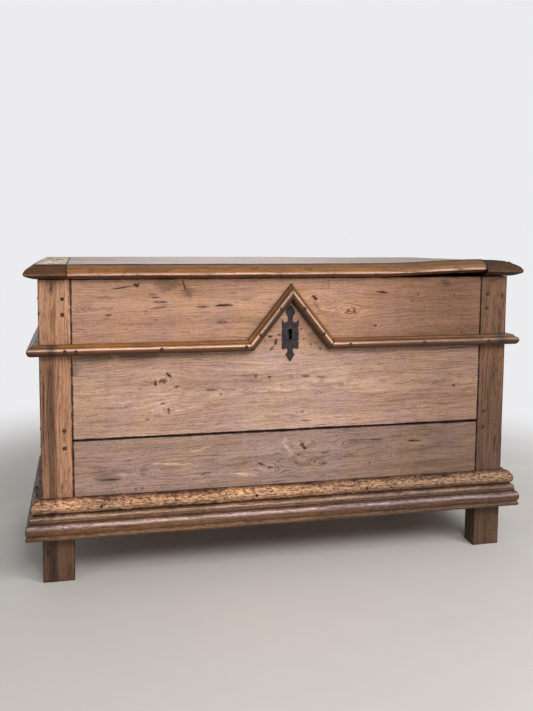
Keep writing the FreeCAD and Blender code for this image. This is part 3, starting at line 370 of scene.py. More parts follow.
class Finish(Sketch):
    """A material being drawn up."""

    def __init__(self, name):
        self.material = bpy.data.materials.new(name)
        self.material.use_nodes = True
        super().__init__(self.material.node_tree)
        self.tree.nodes.clear()

    def attribute(self, name, output="Fac"):
        return self.add("ShaderNodeAttribute", output=output, attribute_name=name)

    def place(self):
        return self.add("ShaderNodeTexCoord", output="Object")

    def blend(self, share, first, second):
        return self.add("ShaderNodeMix", {0: share, 6: first, 7: second}, output=2,
                        data_type="RGBA")

    def toned(self, share, colour, factors):
        """The colour, and its product with the factors where the share is 1."""
        factors = factors if isinstance(factors, tuple) else (factors,) * 3
        return self.blend(share, colour, self.product(colour, factors))

    def ramp(self, value, stops):
        node = self.tree.nodes.new("ShaderNodeValToRGB")
        self.feed(node.inputs[0], value)
        ramp = node.color_ramp
        while len(ramp.elements) < len(stops):
            ramp.elements.new(1.0)
        for element, (position, colour) in zip(ramp.elements, stops):
            element.position = position
            element.color = rgba(colour)
        return node.outputs[0]

    def close(self, base, roughness, height, bump=0.7, reach=0.8 * MM, **constants):
        normal = self.add("ShaderNodeBump", {"Height": height, "Strength": bump,
                                             "Distance": reach})
        shader = self.add("ShaderNodeBsdfPrincipled", {
            "Base Color": base, "Roughness": roughness, "Normal": normal,
            **{key.replace("_", " "): value for key, value in constants.items()}})
        self.add("ShaderNodeOutputMaterial", {"Surface": shader})
        return self.material


def rgba(colour):
    """A colour with full cover, for a shader's socket."""
    return (*colour[:3], 1.0)


def band_colours(*rows):
    """Stops of a colour ramp up a moulding, each a level and a colour as it is seen."""
    return [(level, seen(*colour)) for level, *colour in rows]


def along_grain(finish, axis):
    """Coordinates along, out of and round the grain of a piece without a grain field."""
    parts = finish.parts(finish.place())
    return finish.joined(*(parts[i] for i in {X: (X, Z, Y), Y: (Y, Z, X)}[axis]))


def oak(name, light, dark, axis=None, bands=None, gloss=0.0, grime=0.35, contrast=1.0,
        worm=0.0, pale_top=None, raw=None, eroded=False):
    """Old oak: growth rings, fibres, pores, knots, worm holes, marks and a worn surface, and on
    mouldings colour bands with painted highlights and painted shade.
    """
    finish = Finish(name)
    place = finish.place()
    field = finish.attribute("grain", "Vector") if axis is None else along_grain(finish, axis)

    def streaks(along, out, around, detail=3.0, roughness=0.6):
        return finish.noise(finish.product(field, (along, out, around)), detail, roughness)

    def stronger(share):
        return min(1.0, share * contrast)
    broad = streaks(1.8, 24.0, 5.0)
    growth = streaks(8.0, 260.0, 6.0, 4.0, 0.78)
    fibre = streaks(20.0, 1300.0, 70.0, 2.0)
    pore = streaks(42.0, 460.0, 120.0, 1.0)
    fleck = streaks(24.0, 210.0, 50.0, 2.0, 0.5)
    frayed = streaks(70.0, 330.0, 70.0, 3.0, 0.7)
    patch = finish.noise(place, 3.0, 0.6, 6.5)
    cloud = finish.noise(place, 5.0, 0.78, 23.0)
    ragged = finish.noise(place, 4.0, 0.75, 62.0)
    hue = finish.noise(place, 2.0, 0.6, 9.5)
    speck = finish.noise(place, 2.0, 0.6, 330.0)
    light, dark = rgba(light), rgba(dark)
    wood = finish.blend(finish.step(broad, 0.36, 0.70, 0.0, 0.38), light, dark)
    # Colour bands up a moulding: they hold its painted highlights and the painted shade in its
    # hollows.
    if bands:
        level = finish.plus(finish.attribute("band"),
                            finish.step(patch, 0.3, 0.7, -0.012, 0.012))
        wood = finish.blend(0.92, wood, finish.ramp(level, bands))
    for where, tone, streaked in (("top", pale_top, 0.45), ("inner", raw, 0.5)):
        if tone:
            bare = finish.blend(finish.step(broad, 0.34, 0.68, 0.0, streaked), rgba(tone), dark)
            wood = finish.blend(finish.step(finish.attribute(where), 0.3, 0.8), wood, bare)
    year = finish.plus(finish.times(finish.parts(field)[1], 150.0), finish.times(broad, 2.6))
    year = finish.math("PINGPONG", year, 0.5)
    faint = finish.larger(finish.step(patch, 0.36, 0.62, 0.12, 0.62), finish.attribute("figure"))
    pores = finish.larger(finish.step(pore, 0.62, 0.70), finish.step(fleck, 0.66, 0.73))
    knot = finish.plus(finish.attribute("knot"), finish.step(ragged, 0.3, 0.7, 0.25, -0.45))
    layers = (
        (finish.step(growth, 0.50, 0.62, 0.0, stronger(0.66)), (0.52, 0.48, 0.45)),
        (finish.step(growth, 0.34, 0.46, stronger(0.8), 0.0), 1.30),
        (finish.times(finish.step(year, 0.0, 0.12, 1.0, 0.0), faint), (0.62, 0.58, 0.55)),
        (finish.times(finish.step(year, 0.38, 0.5), faint), (1.24, 1.27, 1.30)),
        (finish.step(fibre, 0.35, 0.75, 0.0, stronger(0.42)), 0.72),
        (finish.step(patch, 0.52, 0.74, 0.0, grime), 0.62),
        (finish.step(cloud, 0.52, 0.68, 0.0, 0.5), (0.80, 0.75, 0.70)),
        (finish.step(cloud, 0.32, 0.46, 0.45, 0.0), (1.26, 1.20, 1.16)),
        (finish.times(pores, stronger(0.6)), 0.34),
        (finish.step(knot, 0.05, 0.40, 0.0, 0.5), 1.22))
    for share, factors in layers:
        wood = finish.toned(share, wood, factors)
    wood = finish.product(wood, finish.blend(finish.step(hue, 0.36, 0.64),
                                             (0.98, 0.985, 1.04, 1), (1.02, 1.02, 0.93, 1)))
    wood = finish.scaled(wood, finish.step(speck, 0.32, 0.68, 1.14, 0.84))
    wood = finish.blend(finish.step(knot, 0.50, 0.80, 0.0, 0.85), wood,
                        tuple(0.35 * value for value in dark))
    mark = finish.plus(finish.attribute("mark"), finish.step(frayed, 0.28, 0.72, -0.62, 0.36))
    mark = finish.step(mark, 0.28, 0.60)
    wood = finish.blend(finish.times(mark, 0.88), wood, rgba(seen(42, 30, 24)))
    hollows, open_places = [(growth, 0.6), (fibre, 0.25), (pores, 0.4), (mark, 1.2)], mark
    if worm:
        cell = finish.add("ShaderNodeTexVoronoi", {"Vector": place, "Scale": 170.0})
        eaten = finish.plus(finish.attribute("worm"), finish.step(cloud, 0.38, 0.62, -0.7, 0.2))
        width = finish.step(eaten, 0.0, 1.0, 0.0, 0.24)
        holes = finish.times(finish.math("LESS_THAN", cell, width), worm)
        wood = finish.blend(holes, wood, rgba(seen(40, 27, 20)))
        if eroded:
            gnawed = streaks(75.0, 300.0, 300.0, 4.0, 0.8)
            # Streaks between the pits are made lighter: a painted highlight on the worn surface.
            wood = finish.toned(finish.step(gnawed, 0.30, 0.45, 1.0, 0.0), wood, 1.5)
            pits = finish.times(finish.step(gnawed, 0.51, 0.58),
                                finish.step(finish.attribute("worm"), 0.2, 0.9, 0.45, 1.0))
            wood = finish.toned(pits, wood, (0.22, 0.17, 0.15))
            holes, open_places = finish.larger(holes, pits), finish.larger(mark, pits)
        hollows.append((holes, 1.3))
    joint = finish.plus(finish.attribute("edge"), finish.step(cloud, 0.35, 0.65, -0.22, 0.10))
    wood = finish.toned(finish.step(joint, 0.64, 0.92, 0.0, 0.94), wood, (0.16, 0.13, 0.12))
    wood = finish.product(wood, finish.vector("ADD", finish.attribute("tint", "Vector"),
                                              (1.0, 1.0, 1.0)))
    height = 0.0
    for hollow, depth in hollows:
        height = finish.minus(height, finish.times(hollow, depth))
    rough = finish.step(fibre, 0.2, 0.8, 0.64 - 0.38 * gloss, 0.80 - 0.36 * gloss)
    rough = finish.math("ADD", rough, finish.times(open_places, 0.3), clamp=True)
    return finish.close(wood, rough, height, Specular_IOR_Level=0.16 + 0.34 * gloss)


def wrought_iron(name, tone, rust, rust_share, ring=None):
    """Blackened iron with hammered hollows, rust in them and, if wanted, a raised ring with a
    painted highlight on its rim and painted shade beside it.
    """
    finish = Finish(name)
    place = finish.place()
    dents = finish.add("ShaderNodeTexVoronoi", {"Vector": place, "Scale": 95.0,
                                                "Smoothness": 0.8}, feature="SMOOTH_F1")
    scale = finish.noise(place, 4.0, 0.7, 190.0)
    cloud = finish.noise(place, 3.0, 0.6, 42.0)
    base = finish.blend(finish.step(cloud, 0.46, 0.72, 0.0, rust_share), rgba(tone), rgba(rust))
    base = finish.blend(finish.step(scale, 0.36, 0.62, 0.0, 0.75), finish.scaled(base, 1.35),
                        finish.scaled(base, 0.45))
    height = finish.plus(finish.times(dents, 0.8), finish.times(scale, 0.35))
    if ring:
        middle, radius = ring
        away = finish.product(finish.vector("SUBTRACT", place, middle), (1, 0, 1))
        off = finish.math("ABSOLUTE", finish.minus(finish.length(away), radius))
        rim = finish.step(off, 0.8 * MM, 2.2 * MM, 1.0, 0.0)
        groove = finish.math("ABSOLUTE", finish.minus(off, 3.0 * MM))
        # The rim is painted lighter, a painted highlight, and a groove beside it darker, a painted
        # shade.
        base = finish.toned(finish.times(rim, 0.75), base, 2.6)
        base = finish.toned(finish.step(groove, 0.2 * MM, 1.4 * MM, 1.0, 0.0), base, 0.25)
        height = finish.plus(height, finish.times(rim, 1.2))
    rough = finish.step(cloud, 0.3, 0.75, 0.42, 0.74)
    return finish.close(base, rough, height, reach=0.9 * MM, Metallic=0.55)


def ripple(points, reach, seed, count=9):
    """Slow unevenness between about -1 and 1, with crests about a reach apart."""
    random = np.random.default_rng(seed)
    total = np.zeros(len(points))
    for _ in range(count):
        heading = random.normal(size=3)
        heading *= random.uniform(0.5, 1.7) / np.linalg.norm(heading)
        total += np.sin(points @ heading * (2 * math.pi / reach) + random.uniform(0, 6.28))
    return total / count * 1.8


def tinted(brightness, warmth=0.0):
    """Change of red, green and blue for a change of brightness, and of warmth towards orange."""
    change = 1.0 + np.asarray(brightness, dtype=float)
    warm = np.broadcast_to(np.asarray(warmth, dtype=float), change.shape)
    return np.stack((change * (1 + 0.06 * warm), change * (1 - 0.07 * warm),
                     change * (1 - 0.24 * warm)), axis=1) - 1.0


def smooth_share(values, low, high):
    """0 below low, 1 above high and a smooth rise between them."""
    share = np.clip((values - low) / (high - low), 0.0, 1.0)
    return share * share * (3 - 2 * share)


def cut_lines(low, high, pitch, kept=()):
    """Lines between two limits about a pitch apart, with the kept ones exactly in place."""
    stops = [low]
    for stop in sorted(kept):
        if stops[-1] + 0.05 * MM < stop < high - 0.05 * MM:
            stops.append(stop)
    stops.append(high)
    lines = []
    for start, end in zip(stops, stops[1:]):
        count = max(1, round((end - start) / pitch))
        lines += [start + (end - start) * index / count for index in range(count)]
    return np.array(lines + [high])


def lattice_shell(lines, solids, cuts):
    """Points and outward faces of the cells of a lattice that are inside solids, not cuts."""
    middles = [(values[1:] + values[:-1]) / 2 for values in lines]
    grids = np.meshgrid(*middles, indexing="ij")

    def within(box):
        return np.all([(grid > box[0][axis]) & (grid < box[1][axis])
                       for axis, grid in enumerate(grids)], axis=0)
    filled = np.any([within(box) for box in solids], axis=0)
    for box in cuts:
        filled &= ~within(box)
    padded = np.pad(filled, 1)
    faces = []
    for axis in (X, Y, Z):
        u = np.eye(3, dtype=int)[(axis + 1) % 3]
        v = np.eye(3, dtype=int)[(axis + 2) % 3]
        for side in (-1, 1):
            open_side = ~np.roll(padded, -side, axis)[1:-1, 1:-1, 1:-1]
            base = np.argwhere(filled & open_side)
            base[:, axis] += side == 1
            ring = [base, base + u, base + u + v, base + v]
            faces.append(np.stack(ring if side == 1 else ring[::-1], axis=1))
    faces = np.concatenate(faces)
    sizes = [len(values) for values in lines]
    flat = (faces[..., 0] * sizes[1] + faces[..., 1]) * sizes[2] + faces[..., 2]
    used, quads = np.unique(flat, return_inverse=True)
    index = np.unravel_index(used, sizes)
    points = np.stack([values[place] for values, place in zip(lines, index)], axis=1)
    return points, quads.reshape(-1, 4)


def rounded(points, low, high, radius):
    """Points of a block moved in so that its edges are rounded; what is outside it stays."""
    low, high = np.array(low), np.array(high)
    reach = np.asarray(radius).reshape(-1, 1)
    inner = np.clip(points, low + reach, high - reach)
    gap = points - inner
    length = np.linalg.norm(gap, axis=1, keepdims=True)
    moved = inner + gap / np.maximum(length, 1e-9) * np.minimum(length, reach)
    inside = np.all((points > low - 1e-6) & (points < high + 1e-6), axis=1, keepdims=True)
    return np.where(inside, moved, points)


def grain_field(points, order, heart, lean, knots=(), seed=0):
    """Places along the grain, out from the heart and round it, flowing round the knots."""
    along, across, depth = (points[:, axis] for axis in order)
    sideways = across - heart[0] - lean * along
    inward = depth - heart[1]
    ring = np.hypot(sideways, inward)
    turn = sideways / np.maximum(ring, 1e-6)
    for place, level, size in knots:
        gap = np.hypot((along - place) / 1.8, across - level)
        spread = 1.25 * size
        ring = ring - turn * (across - level) * spread ** 2 / (gap ** 2 + 0.5 * spread ** 2)
        curl = np.exp(-(gap / (3.5 * size)) ** 2)
        ring = ring + 0.0032 * curl * ripple(points, 0.055, seed + 7)
    slow = np.column_stack((along * 0.35, across, depth))
    ring = ring + 0.0034 * ripple(slow, 0.10, seed) + 0.0016 * ripple(slow, 0.03, seed + 1)
    return np.column_stack((along, ring, np.arctan2(sideways, inward) * 0.1))


def hump(values, middle, width):
    """1 at the middle, falling to 0 a few widths away."""
    return np.exp(-((values - middle) / width) ** 2)


def knot_share(along, across, knots):
    """1 in the middle of each knot, falling to 0 a little outside it, and how near one is."""
    share, figure = np.zeros(len(along)), np.zeros(len(along))
    for place, level, size in knots:
        gap = np.hypot((along - place) / 1.25, across - level)
        share = np.maximum(share, np.clip(1.25 - gap / (0.68 * size), 0.0, 1.0))
        figure = np.maximum(figure, hump(gap, 0.0, 4.0 * size))
    return share, figure


def stroke_share(points, strokes, reach=1.0, soft=False):
    """How dark the marks make each place: the cracks themselves, or the stain round them."""
    along, _, across = points.T
    sway = 0.8 * MM * ripple(points, 0.025, 5)
    share = np.zeros(len(along))
    for x0, z0, x1, z1, width, strength in in_metres(strokes, 5):
        if strength < 0.6 and not soft:
            continue
        run = np.array([x1 - x0, z1 - z0])
        length = max(float(run @ run), 1e-9)
        part = np.clip(((along - x0) * run[0] + (across - z0) * run[1]) / length, 0.0, 1.0)
        gap = np.hypot(along - x0 - part * run[0], across - z0 - part * run[1] + sway)
        width = width * reach * (1.0 - 0.7 * np.abs(2 * part - 1) ** 2)
        level = hump(gap, 0.0, width) if soft else np.clip(1.3 - gap / width, 0, 1)
        share = np.maximum(share, strength * level)
    return share


def refined(points, faces, strokes, order, side):
    """The same shell with finer faces along its marks."""
    depth = order[2]
    near = (stroke_share(points, strokes, 4.0, True) > 0.02) \
        & (np.abs(points[:, depth] - side) < 0.1 * MM)
    shell = bmesh.new()
    verts = [shell.verts.new(point) for point in points]
    for face in faces:
        shell.faces.new([verts[index] for index in face])
    shell.verts.index_update()
    close = [edge for edge in shell.edges if all(near[vert.index] for vert in edge.verts)]
    bmesh.ops.subdivide_edges(shell, edges=close, cuts=2, use_grid_fill=True)
    shell.verts.index_update()
    points = np.array([vert.co for vert in shell.verts])
    faces = [[vert.index for vert in face.verts] for face in shell.faces]
    shell.free()
    return points, faces


def keep_values(mesh, name, values):
    """Stores one number or one vector for every point of a mesh."""
    kind, field = ("FLOAT", "value") if values.ndim == 1 else ("FLOAT_VECTOR", "vector")
    layer = mesh.attributes.new(name, kind, "POINT")
    layer.data.foreach_set(field, np.ascontiguousarray(values, dtype=np.float32).ravel())


def mesh_points(mesh):
    """Where the points of a mesh are."""
    points = np.empty(len(mesh.vertices) * 3)
    mesh.vertices.foreach_get("co", points)
    return points.reshape(-1, 3)


def placed(name, data):
    """A new object in the scene, at the origin."""
    thing = bpy.data.objects.new(name, data)
    bpy.context.scene.collection.objects.link(thing)
    return thing


def settled(piece, modifier):
    """The plain mesh that a modifier makes of a piece, which the piece then has instead."""
    evaluated = piece.evaluated_get(bpy.context.evaluated_depsgraph_get())
    mesh = bpy.data.meshes.new_from_object(evaluated)
    piece.modifiers.remove(modifier)
    piece.data = mesh
    return mesh


def merged_copy(node):
    """The faces of a solid, joined at their edges."""
    copy = bmesh.new()
    copy.from_mesh(frame["nodes"][node].data)
    bmesh.ops.remove_doubles(copy, verts=copy.verts, dist=0.01 * MM)
    return copy


def corners(node):
    """Lowest and highest corner of a node."""
    return tuple(np.array(corner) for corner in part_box(node))


def new_piece(name, points, faces, material, values):
    """A mesh object at the origin with its named values, sharp where faces meet steeply."""
    mesh = bpy.data.meshes.new(name)
    mesh.from_pydata(points.tolist(), [], [list(map(int, face)) for face in faces])
    for key, given in values.items():
        keep_values(mesh, key, given)
    mesh.materials.append(material)
    mesh.shade_smooth()
    mesh.set_sharp_from_angle(angle=math.radians(50))
    return placed(name, mesh)


def stands_for(piece, node):
    """The piece rides where the node does and hides it; the record must give the node a body and a
    slot.
    """
    record = frame["record"]
    body = [name for name, nodes in record["behaviour"]["bodies"].items() if node in nodes]
    slot = [entry["material_slot"] for entry in record["subparts"] if entry["node"] == node]
    if not body or not slot:
        raise RuntimeError("the packed record has no body or no slot for %s" % node)
    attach(piece, body[0])
    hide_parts(node)
    return piece


def worn_board(node, sizes, material, order, body, tongues, cuts, pitches, heart, seed,
               marked_side, lean=0.02, inner_side=None, shape=None, tone=None, extra=None):
    """A board or post with rounded edges, slow waves, marks and a grain field."""
    low, high = np.array(body[0]), np.array(body[1])
    along, across, depth = order
    radius = sizes.edge_wear
    boxes = [body, *tongues]
    lines = []
    for axis in (X, Y, Z):
        kept = [box[side][axis] for box in (*boxes, *cuts) for side in (0, 1)]
        for part in (0.25, 0.6, 1.0):
            kept += [low[axis] + radius * part, high[axis] - radius * part]
        start = min(box[0][axis] for box in boxes)
        end = max(box[1][axis] for box in boxes)
        lines.append(cut_lines(start, end, pitches[axis], kept))
    points, faces = lattice_shell(lines, boxes, cuts)
    knots = in_metres(KNOTS.get(node, ()), 3)
    strokes = MARKS.get(node, ())
    if strokes:
        points, faces = refined(points, faces, strokes, order, marked_side)
    near = np.abs(points[:, depth] - marked_side) < 0.5 * (high - low)[depth]
    share, figure = knot_share(points[:, along], points[:, across], knots)
    share = share * near
    marks = stroke_share(points, strokes) * near
    stains = stroke_share(points, strokes, 1.8, True) * near
    grain = grain_field(points, order, heart, lean, knots, seed)
    grain[:, 0] += seed * 3.7
    edge = np.sort(np.minimum(points - low, high - points), axis=1)[:, 1]
    wear = radius * np.clip(1.0 + 0.5 * ripple(points, 0.11, seed + 2), 0.35, 1.0)
    worn = rounded(points, low, high, wear)
    inwards = np.sign((low + high)[depth] / 2 - marked_side)
    worn[:, depth] += inwards * sizes.mark_depth * np.clip(marks + 0.5 * share, 0, 1)
    for axis in (X, Y, Z):
        worn[:, axis] += sizes.unevenness * ripple(points, 0.16, seed + 10 + axis)
    if shape:
        worn = shape(worn)
    tint = tone(points) if tone else np.zeros((len(points), 3))
    values = {"mark": marks, "knot": share, "figure": 0.85 * figure, "grain": grain,
              "tint": (1 + tint) * (1 - 0.74 * stains[:, None]) - 1,
              "edge": 1 - smooth_share(edge, 0.0, 8 * MM)}
    if inner_side is not None:
        values["inner"] = (np.abs(points[:, depth] - inner_side) < MM).astype(float)
    if extra:
        values.update(extra(points))
    piece = new_piece(node + "_worn", worn, faces, material, values)
    return stands_for(piece, node)


def body_and_tongues(node, axis):
    """The body of a wall board and the tongue on each of its ends."""
    low, high = corners(node)
    body_low, body_high = low.copy(), high.copy()
    body_low[axis] += TONGUE_REACH
    body_high[axis] -= TONGUE_REACH
    thin = Y if axis == X else X
    middle = (low[thin] + high[thin]) / 2
    low[thin], high[thin] = middle - TONGUE_HALF, middle + TONGUE_HALF
    low[Z] += TONGUE_HAUNCH
    high[Z] -= TONGUE_HAUNCH
    return (body_low, body_high), (low, high)


def mortises(node):
    """Slots in a post for the tongues that reach into it."""
    low, high = corners(node)
    slots = []
    for wall, axis in (("front", X), ("back", X), ("left", Y), ("right", Y)):
        for level in ("lower", "upper"):
            start, end = body_and_tongues("%s_%s_board" % (wall, level), axis)[1]
            spare = np.full(3, 0.2 * MM)
            spare[axis] = MORTISE_SPARE
            start, end = start - spare, end + spare
            if np.all(start < high) and np.all(end > low):
                slots.append((np.maximum(start, low - MM), np.minimum(end, high + MM)))
    return slots


class BuildPosts(bpy.types.Operator):
    """Make the four corner posts with their mortises and worn edges"""
    bl_idname = "chest.posts"
    bl_label = "Corner posts"

    def execute(self, context):
        sizes, finish = context.scene.chest_sizes, context.scene.chest_finish
        material = oak("post oak", finish.post_tone, finish.post_shade, gloss=0.4,
                       contrast=1.45)

        def side_face_shade(points):
            """1 on the front face and less on the faces round the corner: painted shade on the
            sides of the posts.
            """
            return 1 - 0.38 * smooth_share(points[:, Y], FACE + 0.5 * MM, FACE + 5 * MM)

        def left_tone(points):
            x, _, z = points.T
            leg = 1 - smooth_share(z, 0.10, 0.19)
            streak = np.maximum(smooth_share(x, -0.637, -0.630), leg)
            streak *= 1 - smooth_share(x, -0.616, -0.608)
            lower = 1 - smooth_share(z, 0.55, 0.63)
            third = 1 - smooth_share(x, -0.640, -0.628)
            value = -0.50 * streak - 0.46 * third * (1 - streak) - 0.22 * (1 - third)
            value = (1 + value * lower) * (1 - 0.68 * leg) * (0.96 + 0.04 * lower)
            return tinted(value * side_face_shade(points) - 1, 0.3 * lower)

        def right_tone(points):
            z = points[:, Z]
            lower = 1 - smooth_share(z, 0.35, 0.62)
            value = 0.33 - 0.10 * lower - 0.04 * (1 - smooth_share(z, 0.10, 0.19))
            return tinted(value * side_face_shade(points) - 1, 0.5 - 0.5 * lower)

        def rear_tone(points):
            return tinted(np.full(len(points), -0.52))
        posts = (("front_left_stile", left_tone), ("front_right_stile", right_tone),
                 ("back_left_stile", rear_tone), ("back_right_stile", rear_tone))
        for seed, (node, tone) in enumerate(posts):
            low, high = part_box(node)
            front = node.startswith("front")
            worn_board(node, sizes, material, (Z, X, Y), (low, high), (), mortises(node),
                       (4 * MM, 5 * MM, 6 * MM),
                       (low.x + 0.13, (FACE if front else BACK) + 0.07), 20 + seed,
                       low.y if front else high.y, tone=tone)
        return {"FINISHED"}


class BuildFrontBoards(bpy.types.Operator):
    """Make the two front boards with their knots, cracks and stains"""
    bl_idname = "chest.front_boards"
    bl_label = "Front boards"

    def execute(self, context):
        sizes, finish = context.scene.chest_sizes, context.scene.chest_finish
        material = oak("front board oak", finish.board_tone, finish.board_shade, gloss=0.1,
                       worm=0.7, raw=finish.raw_tone)
        opening = ((CHEVRON_CENTRE - KEYHOLE_HALF, FACE - MM, KEYHOLE_LOW),
                   (CHEVRON_CENTRE + KEYHOLE_HALF, FACE + 0.03, KEYHOLE_HIGH))

        def tone(points):
            x, y, z = points.T
            right = smooth_share(x, 0.05, 0.5)
            top = smooth_share(z, 0.58, 0.62)
            low = 1 - smooth_share(z, 0.370, 0.378)
            centre = hump(x, 0.02, 0.22)
            value = (0.08 + 0.08 * centre) * (1 - top) * (1 - low)
            value -= right * (0.55 * top + 0.36 * (1 - top)) + low * 0.16
            stain = hump(x, -0.481, 0.004) * (z < 0.58) * (z > 0.39)
            # under darkens a thin band just below the rail, most at the left: painted shade of the
            # rail.
            under = hump(z, 0.586, 0.007) * (0.4 - x).clip(0.0, 1.0)
            # keyhole paints the walls inside the keyhole black: painted shade.
            keyhole = (np.abs(x - CHEVRON_CENTRE) < KEYHOLE_HALF + MM) * (y > FACE + MM) \
                * (z > KEYHOLE_LOW - 1.5 * MM) * (z < KEYHOLE_HIGH + 1.5 * MM)
            body_end = (np.abs(x) > POST_INNER - 3 * MM) * (0.4 + 0.5 * (x > 0) * top)
            seam = (np.abs(z - FRONT_SEAM) < 3.2 * MM) * 0.8
            warmth = top * (0.1 + 0.5 * right) \
                - (1 - top) * (0.60 + 0.35 * centre - 0.25 * right) - 0.30 * low
            pale = hump(x, -0.335, 0.035) * hump(z, 0.48, 0.045) \
                + 2.6 * stroke_share(points, PALE_LINES, 0.8, True)
            value += 0.18 * pale - 0.12 * stain - 0.22 * under - keyhole
            return tinted(np.clip(1 + value, 0, 2) * (1 - np.maximum(body_end, seam)) - 1, warmth)
        boards = (("upper", (opening,), (0.50, FACE + 0.025)),
                  ("lower", (), (0.30, FACE + 0.02)))
        for seed, (level, cuts, heart) in enumerate(boards):
            node = "front_%s_board" % level
            body, tongue = body_and_tongues(node, X)
            worn_board(node, sizes, material, (X, Z, Y), body, (tongue,), cuts,
                       (6 * MM, 6 * MM, 3.1 * MM), heart, 31 + seed, FACE, lean=0.018,
                       inner_side=body[1][Y], tone=tone)
        return {"FINISHED"}


class BuildWalls(bpy.types.Operator):
    """Make the boards of both ends and of the back"""
    bl_idname = "chest.walls"
    bl_label = "End and back boards"

    def execute(self, context):
        sizes, finish = context.scene.chest_sizes, context.scene.chest_finish
        ends = oak("end board oak", finish.side_tone, finish.post_shade, gloss=0.2,
                   grime=0.5, raw=finish.raw_tone)
        backs = oak("back board oak", finish.raw_tone, finish.post_shade, grime=0.55,
                    worm=0.6, raw=finish.raw_tone)
        end_pitches, back_pitches = (6 * MM, 7 * MM, 5 * MM), (7 * MM, 6 * MM, 5 * MM)
        walls = (("left", ends, (Y, Z, X), end_pitches), ("right", ends, (Y, Z, X), end_pitches),
                 ("back", backs, (X, Z, Y), back_pitches))
        for seed, (wall, material, order, pitches) in enumerate(walls):
            for level in ("upper", "lower"):
                node = "%s_%s_board" % (wall, level)
                body, tongue = body_and_tongues(node, order[0])
                outer, inner = (corner[order[2]] for corner in body)
                if wall != "left":
                    outer, inner = inner, outer
                worn_board(node, sizes, material, order, body, (tongue,), (), pitches,
                           (0.45 if level == "upper" else 0.2, outer * 0.93),
                           46 + 7 * seed, outer, lean=0.03, inner_side=inner)
        return {"FINISHED"}


def outline_points(steps, reach, height, pitch):
    """An outline of straights and arcs as points about a pitch apart."""
    start = np.array(steps[0]) * (reach, height)
    points = [start]
    for step in steps[1:]:
        last = points[-1]
        end = np.array(step[-2:]) * (reach, height)
        if len(step) == 2:
            count = max(1, math.ceil(np.linalg.norm(end - last) / pitch))
            points += [last + (end - last) * (i + 1) / count for i in range(count)]
            continue
        middle = np.array(step[:2]) * (reach, height)
        rows = 2 * np.array([middle - last, end - last])
        sums = np.array([middle @ middle - last @ last, end @ end - last @ last])
        centre = np.linalg.solve(rows, sums)
        radius = np.linalg.norm(last - centre)
        angles = [math.atan2(*(point - centre)[::-1]) for point in (last, middle, end)]
        sweep = (angles[2] - angles[0]) % (2 * math.pi)
        if (angles[1] - angles[0]) % (2 * math.pi) > sweep:
            sweep -= 2 * math.pi
        count = max(2, math.ceil(abs(sweep) * radius / pitch))
        for i in range(count):
            angle = angles[0] + sweep * (i + 1) / count
            points.append(centre + radius * np.array([math.cos(angle), math.sin(angle)]))
    return np.array(points)


def new_tree(name, inputs):
    """An empty Geometry Nodes tree with named inputs and one geometry output."""
    tree = bpy.data.node_groups.new(name, "GeometryNodeTree")
    tree.interface.new_socket("Geometry", in_out="OUTPUT", socket_type="NodeSocketGeometry")
    tree.interface.new_socket("Geometry", in_out="INPUT", socket_type="NodeSocketGeometry")
    for title, kind, default in inputs:
        socket = tree.interface.new_socket(title, in_out="INPUT", socket_type="NodeSocket" + kind)
        if default is not None:
            socket.default_value = default
    sketch = Sketch(tree)
    given = tree.nodes.new("NodeGroupInput").outputs
    return sketch, given


def end_tree(sketch, geometry, material):
    """Realizes what a tree has made, gives it the material and hands it out."""
    plain = sketch.add("GeometryNodeRealizeInstances", {"Geometry": geometry})
    coated = sketch.add("GeometryNodeSetMaterial", {"Geometry": plain, "Material": material})
    out = sketch.tree.nodes.new("NodeGroupOutput")
    sketch.feed(out.inputs[0], coated)
    return sketch.tree


def grown(name, tree, base, values):
    """The plain mesh object that a tree makes of a base mesh with the given values."""
    carrier = placed(name, base)
    modifier = carrier.modifiers.new("shape", "NODES")
    modifier.node_group = tree
    for item in tree.interface.items_tree:
        if item.in_out == "INPUT" and item.name in values:
            modifier[item.identifier] = values[item.name]
    carrier.update_tag()
    settled(carrier, modifier).name = name
    return carrier


def turned_outwards(mesh):
    """Flips a closed mesh whose faces point inwards."""
    mesh.calc_loop_triangles()
    points = mesh_points(mesh)
    order = np.empty(len(mesh.loop_triangles) * 3, dtype=int)
    mesh.loop_triangles.foreach_get("vertices", order)
    a, b, c = (points[order[i::3]] for i in range(3))
    if np.einsum("ij,ij->i", a, np.cross(b, c)).sum() < 0:
        mesh.flip_normals()


def store(sketch, geometry, name, value, kind="FLOAT"):
    """Keeps a value on every point of a geometry under a name."""
    return sketch.add("GeometryNodeStoreNamedAttribute", {
        "Geometry": geometry, "Name": name, "Value": value}, data_type=kind)


def recall(sketch, name, kind="FLOAT"):
    """A value that was kept under a name."""
    return sketch.add("GeometryNodeInputNamedAttribute", {"Name": name}, data_type=kind)


